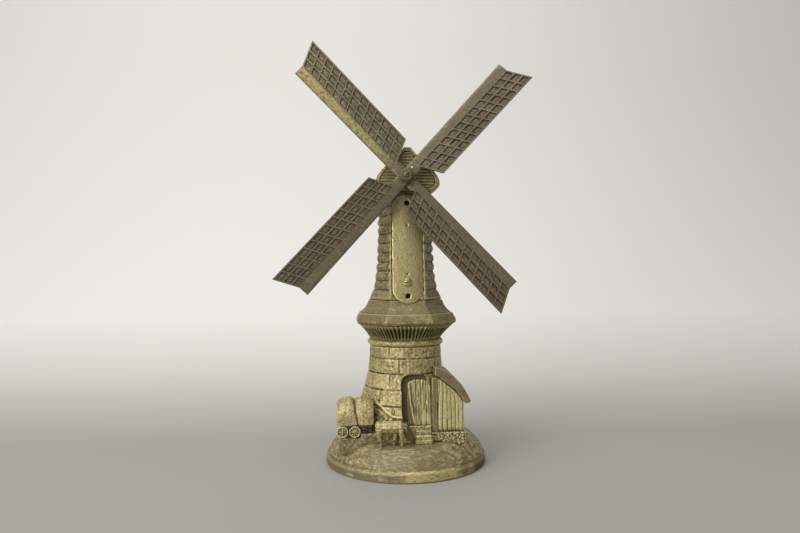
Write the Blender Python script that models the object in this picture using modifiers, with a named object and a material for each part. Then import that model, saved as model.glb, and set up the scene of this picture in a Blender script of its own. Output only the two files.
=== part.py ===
"""Tabletop tower-mill ornament in gilt cast metal, with a four-sail rotor that turns.

Frame: metres, +Z up. The mill's front faces -Y, and the origin is the centre of the underside.
Every object is one piece of the assembly. What turns with the sails is parented to an empty on
the rotor's axis, whose local +Z points out of the cap and whose local +X is the world's.
"""

import math

import bmesh
import bpy
from mathutils import Matrix, Vector

MM = 0.001
GAP = 0.3 * MM

# Base and ground
BASE_RADIUS = 65 * MM
RIM_HEIGHT = 6.4 * MM
GROUND_TOP = 23.2 * MM
BANK_TOP = 27.0 * MM

# Lower tower, round and battered
TOWER_FOOT = GROUND_TOP + GAP
TOWER_TOP = 94.6 * MM
TOWER_TOP_RADIUS = 29.3 * MM
TOWER_BATTER = 0.185
TOWER_WAIST = 1.7 * MM
WAIST_Z = 73 * MM
WAIST_SPREAD = 13 * MM
FIRST_JOINT = 85.7 * MM
COURSE_HEIGHT = 12.0 * MM
COURSE_COUNT = 5
JOINT_DEPTH = 0.6 * MM
CORE_RADIUS = 16 * MM

# Gallery
RING_BOTTOM = 95.0 * MM
RING_TOP = 99.6 * MM
RING_RADIUS = 31.0 * MM
CORBEL_BOTTOM = 99.9 * MM
CORBEL_TOP = 111.6 * MM
CORBEL_BOTTOM_RADIUS = 29.0 * MM
CORBEL_TOP_SIDE = 37.3 * MM
CORBEL_RIBS = 72
RIB_DEPTH = 1.5 * MM
SKIRT_BOTTOM = 111.9 * MM
SKIRT_TOP = 131.5 * MM
SKIRT_FRONT_SHARE = 0.45

# Smock tower, eight-sided
SMOCK_BOTTOM = SKIRT_TOP + GAP
SMOCK_TOP = 217.6 * MM
SMOCK_CORE_RADIUS = 14 * MM
SMOCK_COURSE = 7.4 * MM
SMOCK_BUMP = 0.55 * MM
FRONT_AT_BOTTOM = 29.5 * MM
FRONT_AT_TOP = 21.8 * MM
FACET_AT_BOTTOM = 14.9 * MM
FACET_AT_TOP = 12.6 * MM
TOP_PLATE = 4.0 * MM

# Scale plate, let into the front facet
PLATE_WIDTH = 24.2 * MM
PLATE_LENGTH = 87.4 * MM
PLATE_THICKNESS = 1.5 * MM
PLATE_CENTRE_Z = 172.4 * MM
PLATE_RECESS = 1.3 * MM
PLATE_HOLE_RADIUS = 2.35 * MM
PLATE_PIN_RADIUS = 0.95 * MM
PLATE_HOLES = (36.5 * MM, -37.6 * MM)
PLATE_PIN_HOLES = (18.4 * MM, -20.3 * MM)
SCREW_DROP = -27.3 * MM
SCREW_SHANK_RADIUS = 1.4 * MM

# Cap
CAP_BOTTOM = 217.9 * MM
GABLE_FRONT = -30.2 * MM
GABLE_BACK = -28.8 * MM
GABLE_SHARE = 0.86
CAP_HALF_OUTLINE = [
    (2.6, 251.5), (5.9, 247.4), (12.8, 241.2), (20.2, 233.9), (23.4, 229.8), (25.0, 226.2),
    (25.5, 222.9), (24.8, 220.4), (23.2, 219.0), (19.3, 217.9),
]
CAP_STATIONS = [
    (-31, 1.0, 1.0), (-8, 1.0, 1.0), (8, 0.98, 0.97), (18, 0.9, 0.9), (25, 0.76, 0.78),
    (30, 0.5, 0.58), (32, 0.24, 0.4),
]

# Rotor
ROTOR_PIVOT = Vector((-1.9 * MM, -40.5 * MM, 227.4 * MM))
ROTOR_LEAN = math.radians(4.5)
BAR_ANGLE = math.radians(47.1)
SAIL_PITCH = math.radians(8)
BAR_THICKNESS = 2.2 * MM
REAR_BAR_SET_BACK = 2.7 * MM
ARM_HALF_WIDTH = 4.8 * MM
BOARD_TIP = 6.8 * MM
FOLD = 1.2 * MM
SAIL_EDGE = 19.9 * MM
SAIL_RIM = 0.7 * MM
SAIL_INNER = 12.0 * MM
SAIL_OUTER = 117.4 * MM
SAIL_SLANT = 0.48
SAIL_COLUMNS = 3
SAIL_ROWS = 13
LATTICE_BAR = 1.1 * MM
CELL_DRAFT = 0.45 * MM
CELL_DEPTH = 1.1 * MM
SPINDLE_RADIUS = 2.0 * MM
ROTOR_BORE = 2.3 * MM

# Draught animal, as tubes: points and their radii in its own frame, nose to +X. The legs run on
# into the ground and are trimmed to it.
BARREL_POINTS = [
    (-12.6, 0, 14.6), (-11.2, 0, 15.0), (-5, 0, 14.6), (1, 0, 14.4), (6.5, 0, 15.0), (9.5, 0, 14.2),
]
NECK_POINTS = [(5, 0, 15.2), (9.5, 0, 14.6), (12.4, 0, 11.2), (14.2, 0, 8)]
HEAD_POINTS = [(13.4, 0, 9.4), (14.9, 0, 6.0), (15.9, 0, 2.4)]
HIND_RADII = [2.9, 1.8, 1.15, 1.25]
FORE_RADII = [2.6, 1.6, 1.15, 1.25]
HORSE_TUBES = {
    "barrel": (BARREL_POINTS, [2.2, 4.2, 4.6, 4.6, 4.5, 2.6]),
    "neck": (NECK_POINTS, [3.6, 3.4, 2.7, 2.2]),
    "head": (HEAD_POINTS, [2.3, 2.3, 1.5]),
    "near_hind": ([(-10, -2.2, 14), (-10.0, -2.4, 8), (-8.4, -2.2, 4), (-8.8, -2.0, -4)], HIND_RADII),
    "far_hind": ([(-7.4, 2.0, 14), (-6.2, 2.1, 8), (-5.0, 2.1, 4), (-5.8, 2.1, -3)], HIND_RADII),
    "near_fore": ([(6.2, -2.2, 13), (7.0, -2.4, 8), (7.2, -2.4, 4), (7.2, -2.4, -4)], FORE_RADII),
    "far_fore": ([(3.6, 2.0, 13), (2.6, 2.1, 8), (1.8, 2.1, 4), (0.8, 2.1, -3)], FORE_RADII),
}


def clear_scene():
    for obj in list(bpy.data.objects):
        bpy.data.objects.remove(obj, do_unlink=True)


def new_collection(name):
    collection = bpy.data.collections.new(name)
    bpy.context.scene.collection.children.link(collection)
    return collection


clear_scene()
PARTS = new_collection("windmill_ornament")
HELPERS = new_collection("cutters")


# ---------------------------------------------------------------- finishes


def linear(channel):
    value = channel / 255
    return value / 12.92 if value <= 0.04045 else ((value + 0.055) / 1.055) ** 2.4


def metal(name, red, green, blue, roughness):
    """A cast-metal finish from an sRGB colour."""
    made = bpy.data.materials.new(name)
    made.use_nodes = True
    shader = made.node_tree.nodes["Principled BSDF"]
    shader.inputs["Base Color"].default_value = (linear(red), linear(green), linear(blue), 1)
    shader.inputs["Metallic"].default_value = 0.8
    shader.inputs["Roughness"].default_value = roughness
    return made


def worn_gilt(name):
    return metal(name, 165, 149, 102, 0.5)


def olive_patina(name):
    return metal(name, 131, 118, 86, 0.6)


def brown_patina(name):
    return metal(name, 116, 107, 86, 0.55)


# ---------------------------------------------------------------- object helpers


def place(name, mesh, finish, matrix=None, parent=None):
    """A finished part in the parts' collection."""
    obj = bpy.data.objects.new(name, mesh)
    PARTS.objects.link(obj)
    mesh.materials.clear()
    mesh.materials.append(finish(name + "_finish"))
    if parent is not None:
        obj.parent = parent
    if matrix is not None:
        obj.matrix_local = matrix
    mesh.shade_smooth()
    mesh.set_sharp_from_angle(angle=math.radians(35))
    return obj


def helper(name, mesh, matrix=None):
    """A cutter or a piece to be joined on, left out of the assembly."""
    obj = bpy.data.objects.new(name, mesh)
    HELPERS.objects.link(obj)
    obj.hide_render = True
    obj.display_type = "WIRE"
    if matrix is not None:
        obj.matrix_world = matrix
    return obj


def combine(obj, other, operation):
    modifier = obj.modifiers.new(other.name, "BOOLEAN")
    modifier.operation = operation
    modifier.object = other
    modifier.solver = "EXACT"


def cut(obj, *cutters):
    for cutter in cutters:
        combine(obj, cutter, "DIFFERENCE")


def mesh_of(bm, name):
    bmesh.ops.recalc_face_normals(bm, faces=bm.faces)
    mesh = bpy.data.meshes.new(name)
    bm.to_mesh(mesh)
    bm.free()
    return mesh


def drum_mesh(name, radius, low, high, sides=32):
    """A closed cylinder along Z from low to high."""
    bm = bmesh.new()
    size = {"radius1": radius, "radius2": radius, "depth": high - low}
    bmesh.ops.create_cone(bm, cap_ends=True, segments=sides, **size)
    bmesh.ops.translate(bm, verts=bm.verts, vec=(0, 0, (low + high) / 2))
    return mesh_of(bm, name)


def block_mesh(name, low, high):
    """A box between two corners."""
    bm = bmesh.new()
    bmesh.ops.create_cube(bm, size=1)
    size = [b - a for a, b in zip(low, high)]
    bmesh.ops.scale(bm, verts=bm.verts, vec=size)
    bmesh.ops.translate(bm, verts=bm.verts, vec=[(a + b) / 2 for a, b in zip(low, high)])
    return mesh_of(bm, name)


def turned_mesh(name, profile, steps=48):
    """A body of revolution about Z from a closed profile, by the Screw modifier."""
    mesh = bpy.data.meshes.new(name)
    count = len(profile)
    on_axis = profile[0][0] == 0 and profile[-1][0] == 0
    edges = [(i, i + 1) for i in range(count - 1)] + ([] if on_axis else [(count - 1, 0)])
    mesh.from_pydata([(r, 0, z) for r, z in profile], edges, [])
    obj = bpy.data.objects.new(name, mesh)
    HELPERS.objects.link(obj)
    screw = obj.modifiers.new("turn", "SCREW")
    screw.steps = screw.render_steps = steps
    screw.use_merge_vertices = True
    screw.merge_threshold = 1e-6
    return baked_mesh(obj)


def baked_mesh(obj):
    """The evaluated mesh of a working object, welded, with the object removed."""
    bpy.context.view_layer.update()
    graph = bpy.context.evaluated_depsgraph_get()
    mesh = bpy.data.meshes.new_from_object(obj.evaluated_get(graph))
    mesh.transform(obj.matrix_world)
    bpy.data.objects.remove(obj, do_unlink=True)
    bm = bmesh.new()
    bm.from_mesh(mesh)
    bmesh.ops.remove_doubles(bm, verts=bm.verts, dist=1e-6)
    bmesh.ops.recalc_face_normals(bm, faces=bm.faces)
    bm.to_mesh(mesh)
    bm.free()
    return mesh


def flat_mesh(name, outline, thickness):
    """A plate in the XY plane, half its thickness to each side, from a closed outline."""
    curve = bpy.data.curves.new(name, "CURVE")
    curve.dimensions = "2D"
    curve.fill_mode = "BOTH"
    curve.extrude = thickness / 2
    spline = curve.splines.new("POLY")
    spline.points.add(len(outline) - 1)
    for point, (x, y) in zip(spline.points, outline):
        point.co = (x, y, 0, 1)
    spline.use_cyclic_u = True
    obj = bpy.data.objects.new(name, curve)
    HELPERS.objects.link(obj)
    return baked_mesh(obj)


def tube_mesh(name, points, radii, sides=2):
    """A round limb through points, in millimetres, each with its own radius."""
    curve = bpy.data.curves.new(name, "CURVE")
    curve.dimensions = "3D"
    curve.bevel_depth = MM
    curve.bevel_resolution = sides
    curve.use_fill_caps = True
    spline = curve.splines.new("POLY")
    spline.points.add(len(points) - 1)
    for point, place_mm, radius in zip(spline.points, points, radii):
        point.co = (*(c * MM for c in place_mm), 1)
        point.radius = radius
    obj = bpy.data.objects.new(name, curve)
    HELPERS.objects.link(obj)
    return baked_mesh(obj)


def loft_mesh(name, sections):
    """A closed body through matching closed sections, with an n-gon at each end."""
    bm = bmesh.new()
    rings = [[bm.verts.new(p) for p in section] for section in sections]
    count = len(rings[0])
    for lower, upper in zip(rings, rings[1:]):
        for i in range(count):
            j = (i + 1) % count
            bm.faces.new((lower[i], lower[j], upper[j], upper[i]))
    bm.faces.new(reversed(rings[0]))
    bm.faces.new(rings[-1])
    return mesh_of(bm, name)


def upright(y):
    """Turns a plate drawn in XY so that its Y runs up and its middle plane lies at y."""
    return Matrix.Translation((0, y, 0)) @ Matrix.Rotation(math.radians(90), 4, "X")


def arc(centre, radius, start, end, count):
    """Points along an arc, angles in degrees."""
    cx, cy = centre
    angles = [math.radians(start + (end - start) * i / count) for i in range(count + 1)]
    return [(cx + radius * math.cos(a), cy + radius * math.sin(a)) for a in angles]


# ---------------------------------------------------------------- base and ground


def ground_profile(lift=0.0):
    """Radius and height of the ground from the seat out to the rim."""
    points = [(49, 23.2), (53.5, 21.2), (58, 17.2), (61.4, 12.6), (63.5, 8.8), (64.7, 6.9)]
    return [(r * MM, z * MM + lift) for r, z in points]


def rod_bore(name, radius, low, high):
    return helper(name, drum_mesh(name, radius, low, high, 24))


def build_base():
    outer = ground_profile() + [(BASE_RADIUS, RIM_HEIGHT), (BASE_RADIUS, 0.9 * MM), (64.2 * MM, 0)]
    profile = [(0, 10 * MM), (2.7 * MM, 10 * MM), (2.7 * MM, GROUND_TOP)] + outer + [(0, 0)]
    place("base_plinth", turned_mesh("base_plinth", profile, 64), worn_gilt)


def ground_cutter(name):
    """What lies below the ground, with the fitting gap added."""
    outline = [(0, GROUND_TOP + GAP)] + ground_profile(GAP) + [(80 * MM, 0), (0, 0)]
    return helper(name, turned_mesh(name, outline, 64))


def battered_radius(z):
    return TOWER_TOP_RADIUS + TOWER_BATTER * max(0.0, TOWER_TOP - 4.5 * MM - z)


def tower_radius(z):
    """The wall's radius: a straight batter, drawn in a little above the middle."""
    waist = TOWER_WAIST * math.exp(-(((z - WAIST_Z) / WAIST_SPREAD) ** 2))
    return battered_radius(z) - waist


def tower_cutter(name):
    """The lower tower's outer shape, with the fitting gap added."""
    low, high = GROUND_TOP - 2 * MM, TOWER_TOP - 5 * MM
    reach = [(battered_radius(z) + 2 * GAP, z) for z in (high, low)]
    profile = [(0, high), *reach, (0, low)]
    return helper(name, turned_mesh(name, profile, 48))


def build_bank():
    """The bank of earth that the wagon stands on, against the tower's left."""
    outline = [
        (-54, 16), (-55, 21), (-54.5, 25.5), (-52.5, 27), (-37.2, 27), (-36.8, 30.2), (-26, 30.4),
        (-22.5, 29.4), (-21, 16),
    ]
    points = [(x * MM, z * MM) for x, z in reversed(outline)]
    bank = place("ground_bank", flat_mesh("ground_bank", points, 26 * MM), worn_gilt, upright(-25 * MM))
    cut(bank, tower_cutter("bank_tower_cutter"), ground_cutter("bank_ground_cutter"))


# ---------------------------------------------------------------- lower tower


def build_lower_tower():
    heights = [(TOWER_TOP, 0)]
    for i in range(COURSE_COUNT):
        joint = FIRST_JOINT - COURSE_HEIGHT * i
        heights += [(joint + 0.6 * MM, 0), (joint + 0.2 * MM, JOINT_DEPTH)]
        heights += [(joint - 0.2 * MM, JOINT_DEPTH), (joint - 0.6 * MM, 0), (joint - COURSE_HEIGHT / 2, 0)]
    outer = [(tower_radius(h) - inset, h) for h, inset in heights]
    outer.append((tower_radius(TOWER_FOOT), TOWER_FOOT))
    profile = [(CORE_RADIUS, TOWER_TOP)] + outer + [(CORE_RADIUS, TOWER_FOOT)]
    tower = place("lower_tower", turned_mesh("lower_tower", profile, 40), worn_gilt)
    thickness = 16 * MM
    recess = door_mesh("door_recess", DOOR_HALF_WIDTH, 0, DOOR_HEIGHT, thickness)
    cut(tower, helper("door_recess", recess, door_matrix(DOOR_RECESS - thickness / 2)))


# ---------------------------------------------------------------- door, steps and shed

DOOR_CENTRE_X = 5.8 * MM
DOOR_HALF_WIDTH = 11.7 * MM
DOOR_SILL = 36 * MM
DOOR_HEIGHT = 38.5 * MM
DOOR_LEAN = math.atan(TOWER_BATTER)
DOOR_RECESS = 5.6 * MM
LEAF_HALF_WIDTH = 9.4 * MM
LEAF_SHIFT = 2.0 * MM
LEAF_DROP = 3.6 * MM
STEP_COUNT = 4
STEP_TREAD = 2.4 * MM
STEPS_FRONT = -46.4 * MM
STEPS_BACK = -30 * MM
STEPS_LEFT = 4.4 * MM
STEPS_RIGHT = 16.2 * MM


def door_mesh(name, half, sill, top, thickness):
    """A round-cornered doorway or leaf, from its sill up, drawn in XY."""
    corner = 7 * MM
    outline = [(half, sill)]
    outline += arc((half - corner, top - corner), corner, 0, 80, 5)
    outline += arc((-half + corner, top - corner), corner, 100, 180, 5)
    outline += [(-half, sill)]
    return flat_mesh(name, outline, thickness)


def door_matrix(depth):
    """Stands the door on its sill, leaning with the wall, its middle plane depth behind the wall's face."""
    wall = -math.sqrt(battered_radius(DOOR_SILL) ** 2 - DOOR_CENTRE_X**2)
    lean = Matrix.Rotation(math.radians(90) - DOOR_LEAN, 4, "X")
    stand = Matrix.Translation((DOOR_CENTRE_X, wall, DOOR_SILL))
    return stand @ lean @ Matrix.Translation((0, 0, -depth))


def build_door():
    leaf = 1.4 * MM
    mesh = door_mesh("entrance_door", LEAF_HALF_WIDTH, GAP, DOOR_HEIGHT - LEAF_DROP, leaf)
    hang = door_matrix(DOOR_RECESS - GAP - leaf / 2) @ Matrix.Translation((LEAF_SHIFT, 0, 0))
    place("entrance_door", mesh, worn_gilt, hang)


def build_steps():
    """Four steps from the ground to the door's sill, cut to the tower's curve behind."""
    rise = (DOOR_SILL - GROUND_TOP - 2 * GAP) / STEP_COUNT
    below = GROUND_TOP - 2 * MM
    outline = [(STEPS_BACK, below), (STEPS_FRONT, below)]
    for i in range(STEP_COUNT):
        y = STEPS_FRONT + STEP_TREAD * i
        top = GROUND_TOP + GAP + rise * (i + 1)
        outline += [(y, top), (y + STEP_TREAD, top)]
    outline[-1] = (STEPS_BACK, outline[-1][1])
    middle = (STEPS_LEFT + STEPS_RIGHT) / 2
    turn = Matrix.Translation((middle, 0, 0)) @ Matrix.Rotation(math.radians(90), 4, "Z")
    matrix = turn @ Matrix.Rotation(math.radians(90), 4, "X")
    steps = place("door_steps", flat_mesh("door_steps", outline, STEPS_RIGHT - STEPS_LEFT), worn_gilt, matrix)
    cut(steps, tower_cutter("steps_tower_cutter"), ground_cutter("steps_ground_cutter"))


SHED_FRONT = -36.5 * MM
SHED_BACK = 6 * MM
SHED_LEFT = 21.9 * MM
SHED_RIGHT = 42.4 * MM
WALL_DROP = 4.8 * MM
POST_LEFT = 17.6 * MM
PLINTH_TOP = 30.1 * MM
ROOF_UPPER = [
    (19.6, 80.4), (23.8, 79.3), (29.8, 76.5), (35.7, 71.6), (41.1, 65.9), (45.0, 59.2), (47.9, 53.2),
]
ROOF_LOWER = [(19.6, 74.0), (22.2, 72.6), (29.2, 67.6), (35.1, 62.6), (39.8, 57.2), (43.2, 51.6)]


def slab(name, outline, front, back, finish):
    """A plate with an XZ outline that runs from front to back along Y."""
    return place(name, flat_mesh(name, outline, back - front), finish, upright((front + back) / 2))


def build_shed():
    upper = [(x * MM, z * MM) for x, z in ROOF_UPPER]
    lower = [(x * MM, z * MM) for x, z in ROOF_LOWER]
    outline = lower + list(reversed(upper))
    roof = slab("shed_roof", outline, SHED_FRONT - 2 * MM, SHED_BACK + 2 * MM, olive_patina)
    cut(roof, tower_cutter("roof_tower_cutter"))

    under = [(x, z - 2 * GAP) for x, z in lower[1:-1]]
    foot = PLINTH_TOP + GAP
    wall_outline = [(SHED_LEFT, foot), (SHED_RIGHT, foot), (SHED_RIGHT, under[-1][1] - WALL_DROP)]
    wall_outline += [*reversed(under[1:]), (SHED_LEFT, under[0][1])]
    wall = slab("shed_walls", wall_outline, SHED_FRONT, SHED_BACK, worn_gilt)
    cut(wall, tower_cutter("wall_tower_cutter"))

    low = (POST_LEFT, SHED_FRONT - 0.6 * MM, foot)
    high = (SHED_LEFT - GAP, SHED_FRONT + 14 * MM, under[0][1])
    post = place("shed_corner_post", block_mesh("shed_corner_post", low, high), olive_patina)
    cut(post, tower_cutter("post_tower_cutter"))

    low = (POST_LEFT - MM, SHED_FRONT - 2.5 * MM, 12 * MM)
    high = (SHED_RIGHT + 0.9 * MM, SHED_BACK + MM, PLINTH_TOP)
    plinth = place("shed_plinth", block_mesh("shed_plinth", low, high), worn_gilt)
    cut(plinth, tower_cutter("plinth_tower_cutter"), ground_cutter("plinth_ground_cutter"))


# ---------------------------------------------------------------- wagon and draught animal

WAGON_LEFT = -56 * MM
WAGON_RIGHT = -27.5 * MM
WAGON_Y = -25.5 * MM
COVER_RADIUS = 12.5 * MM
COVER_BOTTOM = 36.7 * MM
COVER_TOP = 57 * MM
WHEEL_RADIUS = 4.5 * MM


def cover_section(x, share):
    """The tilt's arch at x, drawn round a share of its full height."""
    radius = COVER_RADIUS * (0.7 + 0.3 * share)
    spring = COVER_TOP * share + COVER_BOTTOM * (1 - share) - radius
    arch = arc((WAGON_Y, spring), radius, 0, 180, 10)
    outline = [(WAGON_Y + radius * 0.96, COVER_BOTTOM), *arch, (WAGON_Y - radius * 0.96, COVER_BOTTOM)]
    return [(x, y, z) for y, z in outline]


def build_wagon():
    span = WAGON_RIGHT - WAGON_LEFT
    shares = [(0.0, 0.8), (0.12, 0.95), (0.35, 1.0), (0.5, 0.93), (0.65, 1.0), (0.9, 0.92), (1.0, 0.78)]
    sections = [cover_section(WAGON_LEFT + span * t, share) for t, share in shares]
    cover = place("wagon_cover", loft_mesh("wagon_cover", sections), worn_gilt)
    cut(cover, tower_cutter("cover_tower_cutter"))

    low = (WAGON_LEFT + 3 * MM, WAGON_Y - 10.5 * MM, 31 * MM)
    high = (WAGON_RIGHT - 1.5 * MM, WAGON_Y + 10 * MM, COVER_BOTTOM - GAP)
    bed = place("wagon_bed", block_mesh("wagon_bed", low, high), olive_patina)
    cut(bed, tower_cutter("bed_tower_cutter"))

    for name, x in (("wagon_rear_wheel", -51.4 * MM), ("wagon_front_wheel", -42.0 * MM)):
        mesh = drum_mesh(name, WHEEL_RADIUS, 0, 1.8 * MM, 24)
        turn = Matrix.Rotation(math.radians(90), 4, "X")
        centre = (x, WAGON_Y - 10.5 * MM - GAP, BANK_TOP + GAP + WHEEL_RADIUS)
        place(name, mesh, worn_gilt, Matrix.Translation(centre) @ turn)


def build_animal():
    stand = Matrix.Translation((-14.0 * MM, -45.6 * MM, GROUND_TOP - 1.0 * MM))
    meshes = {name: tube_mesh(name, *limb) for name, limb in HORSE_TUBES.items()}
    animal = place("draught_horse", meshes.pop("barrel"), worn_gilt, stand)
    for name, mesh in meshes.items():
        combine(animal, helper("horse_" + name, mesh, stand), "UNION")
    cut(animal, ground_cutter("horse_ground_cutter"))


# ---------------------------------------------------------------- gallery


def build_ring():
    middle = (RING_BOTTOM + RING_TOP) / 2
    half = (RING_TOP - RING_BOTTOM) / 2
    bulge = arc((RING_RADIUS - half, middle), half, 90, -90, 6)
    profile = [(CORE_RADIUS, RING_TOP), *bulge, (CORE_RADIUS, RING_BOTTOM)]
    place("bead_ring", turned_mesh("bead_ring", profile, 48), worn_gilt)


def octagon_radius(angle, side):
    """Distance from the axis to an eight-sided outline, flat towards -Y, whose flats are side away."""
    eighth = math.pi / 4
    off = (angle + math.pi / 2 + eighth / 2) % eighth - eighth / 2
    return side / math.cos(off)


def corbel_section(share, z):
    """One level of the ribbed corbel: round at the bottom, eight-sided at the top."""
    points = []
    step = 2 * math.pi / CORBEL_RIBS
    for rib in range(CORBEL_RIBS):
        for offset, inset in ((-0.27, 0), (0.27, 0), (0.33, RIB_DEPTH), (0.67, RIB_DEPTH)):
            angle = step * (rib + offset)
            outer = octagon_radius(angle, CORBEL_TOP_SIDE) * share + CORBEL_BOTTOM_RADIUS * (1 - share)
            radius = outer - inset
            points.append((radius * math.cos(angle), radius * math.sin(angle), z))
    return points


def build_corbel():
    sections = [corbel_section(0, CORBEL_BOTTOM), corbel_section(1, CORBEL_TOP)]
    corbel = place("gallery_corbel", loft_mesh("gallery_corbel", sections), olive_patina)
    cut(corbel, rod_bore("corbel_core", CORE_RADIUS, CORBEL_BOTTOM - MM, CORBEL_TOP + MM))


def eight_sided(side, front, front_half, z):
    """A section of the mill: flats side away left, right and behind, with the front facet as given."""
    corner = math.tan(math.pi / 8) * side
    return [
        (-front_half, -front, z), (front_half, -front, z), (side, -corner, z), (side, corner, z),
        (corner, side, z), (-corner, side, z), (-side, corner, z), (-side, -corner, z),
    ]


def build_skirt():
    levels = [
        (111.9, 37.8), (113.0, 38.9), (114.4, 40.1), (116.6, 39.6), (120.6, 37.4), (121.2, 36.5),
        (123.6, 33.5), (127.0, 31.0), (131.5, 29.3),
    ]
    sides = [(z * MM, side * MM) for z, side in levels]
    sections = [eight_sided(side, side, side * SKIRT_FRONT_SHARE, z) for z, side in sides]
    skirt = place("gallery_skirt", loft_mesh("gallery_skirt", sections), olive_patina)
    core = rod_bore("skirt_core", CORE_RADIUS, SKIRT_BOTTOM - MM, SKIRT_TOP + MM)
    cut(skirt, core, plate_recess("skirt_recess"))


# ---------------------------------------------------------------- smock tower and its plate


def along_smock(z):
    return (z - SMOCK_BOTTOM) / (SMOCK_TOP - SMOCK_BOTTOM)


def smock_side(z):
    """Half the tower's width: flared at the foot, nearly straight above."""
    rise = (z - SMOCK_BOTTOM) / MM
    return (20.5 + 4.3 * math.exp(-rise / 32) + 4.2 * math.exp(-rise / 8)) * MM


def smock_front(z):
    return FRONT_AT_BOTTOM + (FRONT_AT_TOP - FRONT_AT_BOTTOM) * along_smock(z)


def facet_half(z):
    return FACET_AT_BOTTOM + (FACET_AT_TOP - FACET_AT_BOTTOM) * along_smock(z)


def smock_section(z, bump):
    side = smock_side(z) + bump
    return eight_sided(side, smock_front(z), facet_half(z), z)


PLATE_LEAN = math.atan((FRONT_AT_BOTTOM - FRONT_AT_TOP) / (SMOCK_TOP - SMOCK_BOTTOM))


def on_front(depth, along=0.0):
    """A frame on the front facet: X across, Y up it, Z out of it, depth below its face."""
    centre = Matrix.Translation((0, -smock_front(PLATE_CENTRE_Z), PLATE_CENTRE_Z))
    lean = Matrix.Rotation(math.radians(90) - PLATE_LEAN, 4, "X")
    return centre @ lean @ Matrix.Translation((0, along, -depth))


def plate_outline(width, length):
    """A strip with bowed ends, drawn round its middle."""
    half, reach = width / 2, length / 2
    bow = 9.5 * MM
    radius = (half**2 + bow**2) / (2 * bow)
    sweep = math.degrees(math.asin(half / radius))
    top = arc((0, reach - radius), radius, 90 - sweep, 90 + sweep, 10)
    bottom = arc((0, radius - reach), radius, 270 - sweep, 270 + sweep, 10)
    return top + bottom


def plate_recess(name):
    outline = plate_outline(PLATE_WIDTH + 2 * GAP, PLATE_LENGTH + 2 * GAP)
    thickness = 8 * MM
    return helper(name, flat_mesh(name, outline, thickness), on_front(PLATE_RECESS + GAP - thickness / 2))


def front_hole(name, radius, along, depth):
    """A blind hole into the front facet."""
    return helper(name, drum_mesh(name, radius, -depth, 4 * MM, 24), on_front(0, along))


def build_smock():
    levels = [(SMOCK_BOTTOM, 0)]
    z = SMOCK_BOTTOM + 0.6 * MM
    while z + SMOCK_COURSE < SMOCK_TOP:
        levels += [(z + 0.5 * MM, 0), (z + SMOCK_COURSE / 2, SMOCK_BUMP)]
        levels.append((z + SMOCK_COURSE - 0.7 * MM, 0))
        levels.append((z + SMOCK_COURSE - 0.1 * MM, -SMOCK_BUMP))
        z += SMOCK_COURSE
    levels.append((SMOCK_TOP, 0))
    sections = [smock_section(*level) for level in levels]
    tower = place("smock_tower", loft_mesh("smock_tower", sections), olive_patina)
    cut(
        tower,
        rod_bore("smock_core", SMOCK_CORE_RADIUS, SMOCK_BOTTOM - MM, SMOCK_TOP - TOP_PLATE),
        rod_bore("smock_rod_hole", 2.7 * MM, SMOCK_TOP - TOP_PLATE - MM, SMOCK_TOP + MM),
        plate_recess("smock_recess"),
        front_hole("screw_hole", SCREW_SHANK_RADIUS + GAP, SCREW_DROP, 7 * MM),
    )
    for i, along in enumerate(PLATE_HOLES):
        cut(tower, front_hole(f"fixing_hole_{i}", PLATE_HOLE_RADIUS - 0.3 * MM, along, 6 * MM))


def build_plate():
    sunk = PLATE_RECESS - PLATE_THICKNESS / 2
    mesh = flat_mesh("scale_plate", plate_outline(PLATE_WIDTH, PLATE_LENGTH), PLATE_THICKNESS)
    plate = place("scale_plate", mesh, worn_gilt, on_front(sunk))
    holes = [(PLATE_HOLE_RADIUS, along) for along in PLATE_HOLES]
    holes += [(PLATE_PIN_RADIUS, along) for along in PLATE_PIN_HOLES]
    holes.append((SCREW_SHANK_RADIUS + GAP, SCREW_DROP))
    for i, (radius, along) in enumerate(holes):
        cut(plate, front_hole(f"plate_hole_{i}", radius, along, 4 * MM))


def build_plate_screw():
    """A round-headed screw: dome, slot and shank, standing on the plate."""
    face = PLATE_THICKNESS - PLATE_RECESS + GAP
    dome = [(0, 1.9), (1.6, 1.75), (2.9, 1.3), (3.8, 0.5), (3.8, 0.0)]
    tail = -6 * MM
    profile = [(r * MM, z * MM) for r, z in dome]
    profile += [(SCREW_SHANK_RADIUS, 0), (SCREW_SHANK_RADIUS, tail), (0, tail)]
    seat = on_front(-face, SCREW_DROP)
    screw = place("plate_screw", turned_mesh("plate_screw", profile, 24), worn_gilt, seat)
    low, high = (-5 * MM, -0.5 * MM, 0.8 * MM), (5 * MM, 0.5 * MM, 4 * MM)
    cut(screw, helper("screw_slot", block_mesh("screw_slot", low, high), seat))


# ---------------------------------------------------------------- cap


def cap_outline(share=1.0):
    """The hood's front outline in XZ, shrunk about its middle."""
    middle = 231.0
    right = [(x * share * MM, (middle + (z - middle) * share) * MM) for x, z in CAP_HALF_OUTLINE]
    return right + [(-x, z) for x, z in reversed(right)]


def rotor_frame(along=0.0):
    """A frame on the rotor's axis, Z outwards, along in front of the front bar's face."""
    turn = Matrix.Rotation(math.radians(90) - ROTOR_LEAN, 4, "X")
    return Matrix.Translation(ROTOR_PIVOT) @ turn @ Matrix.Translation((0, 0, along))


BUSH_RADIUS = 4.2 * MM
BUSH_FRONT = -8.0 * MM
BUSH_BACK = -21.0 * MM


def bush_bore(name):
    return helper(name, drum_mesh(name, BUSH_RADIUS + GAP, -30 * MM, -6 * MM), rotor_frame())


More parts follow.
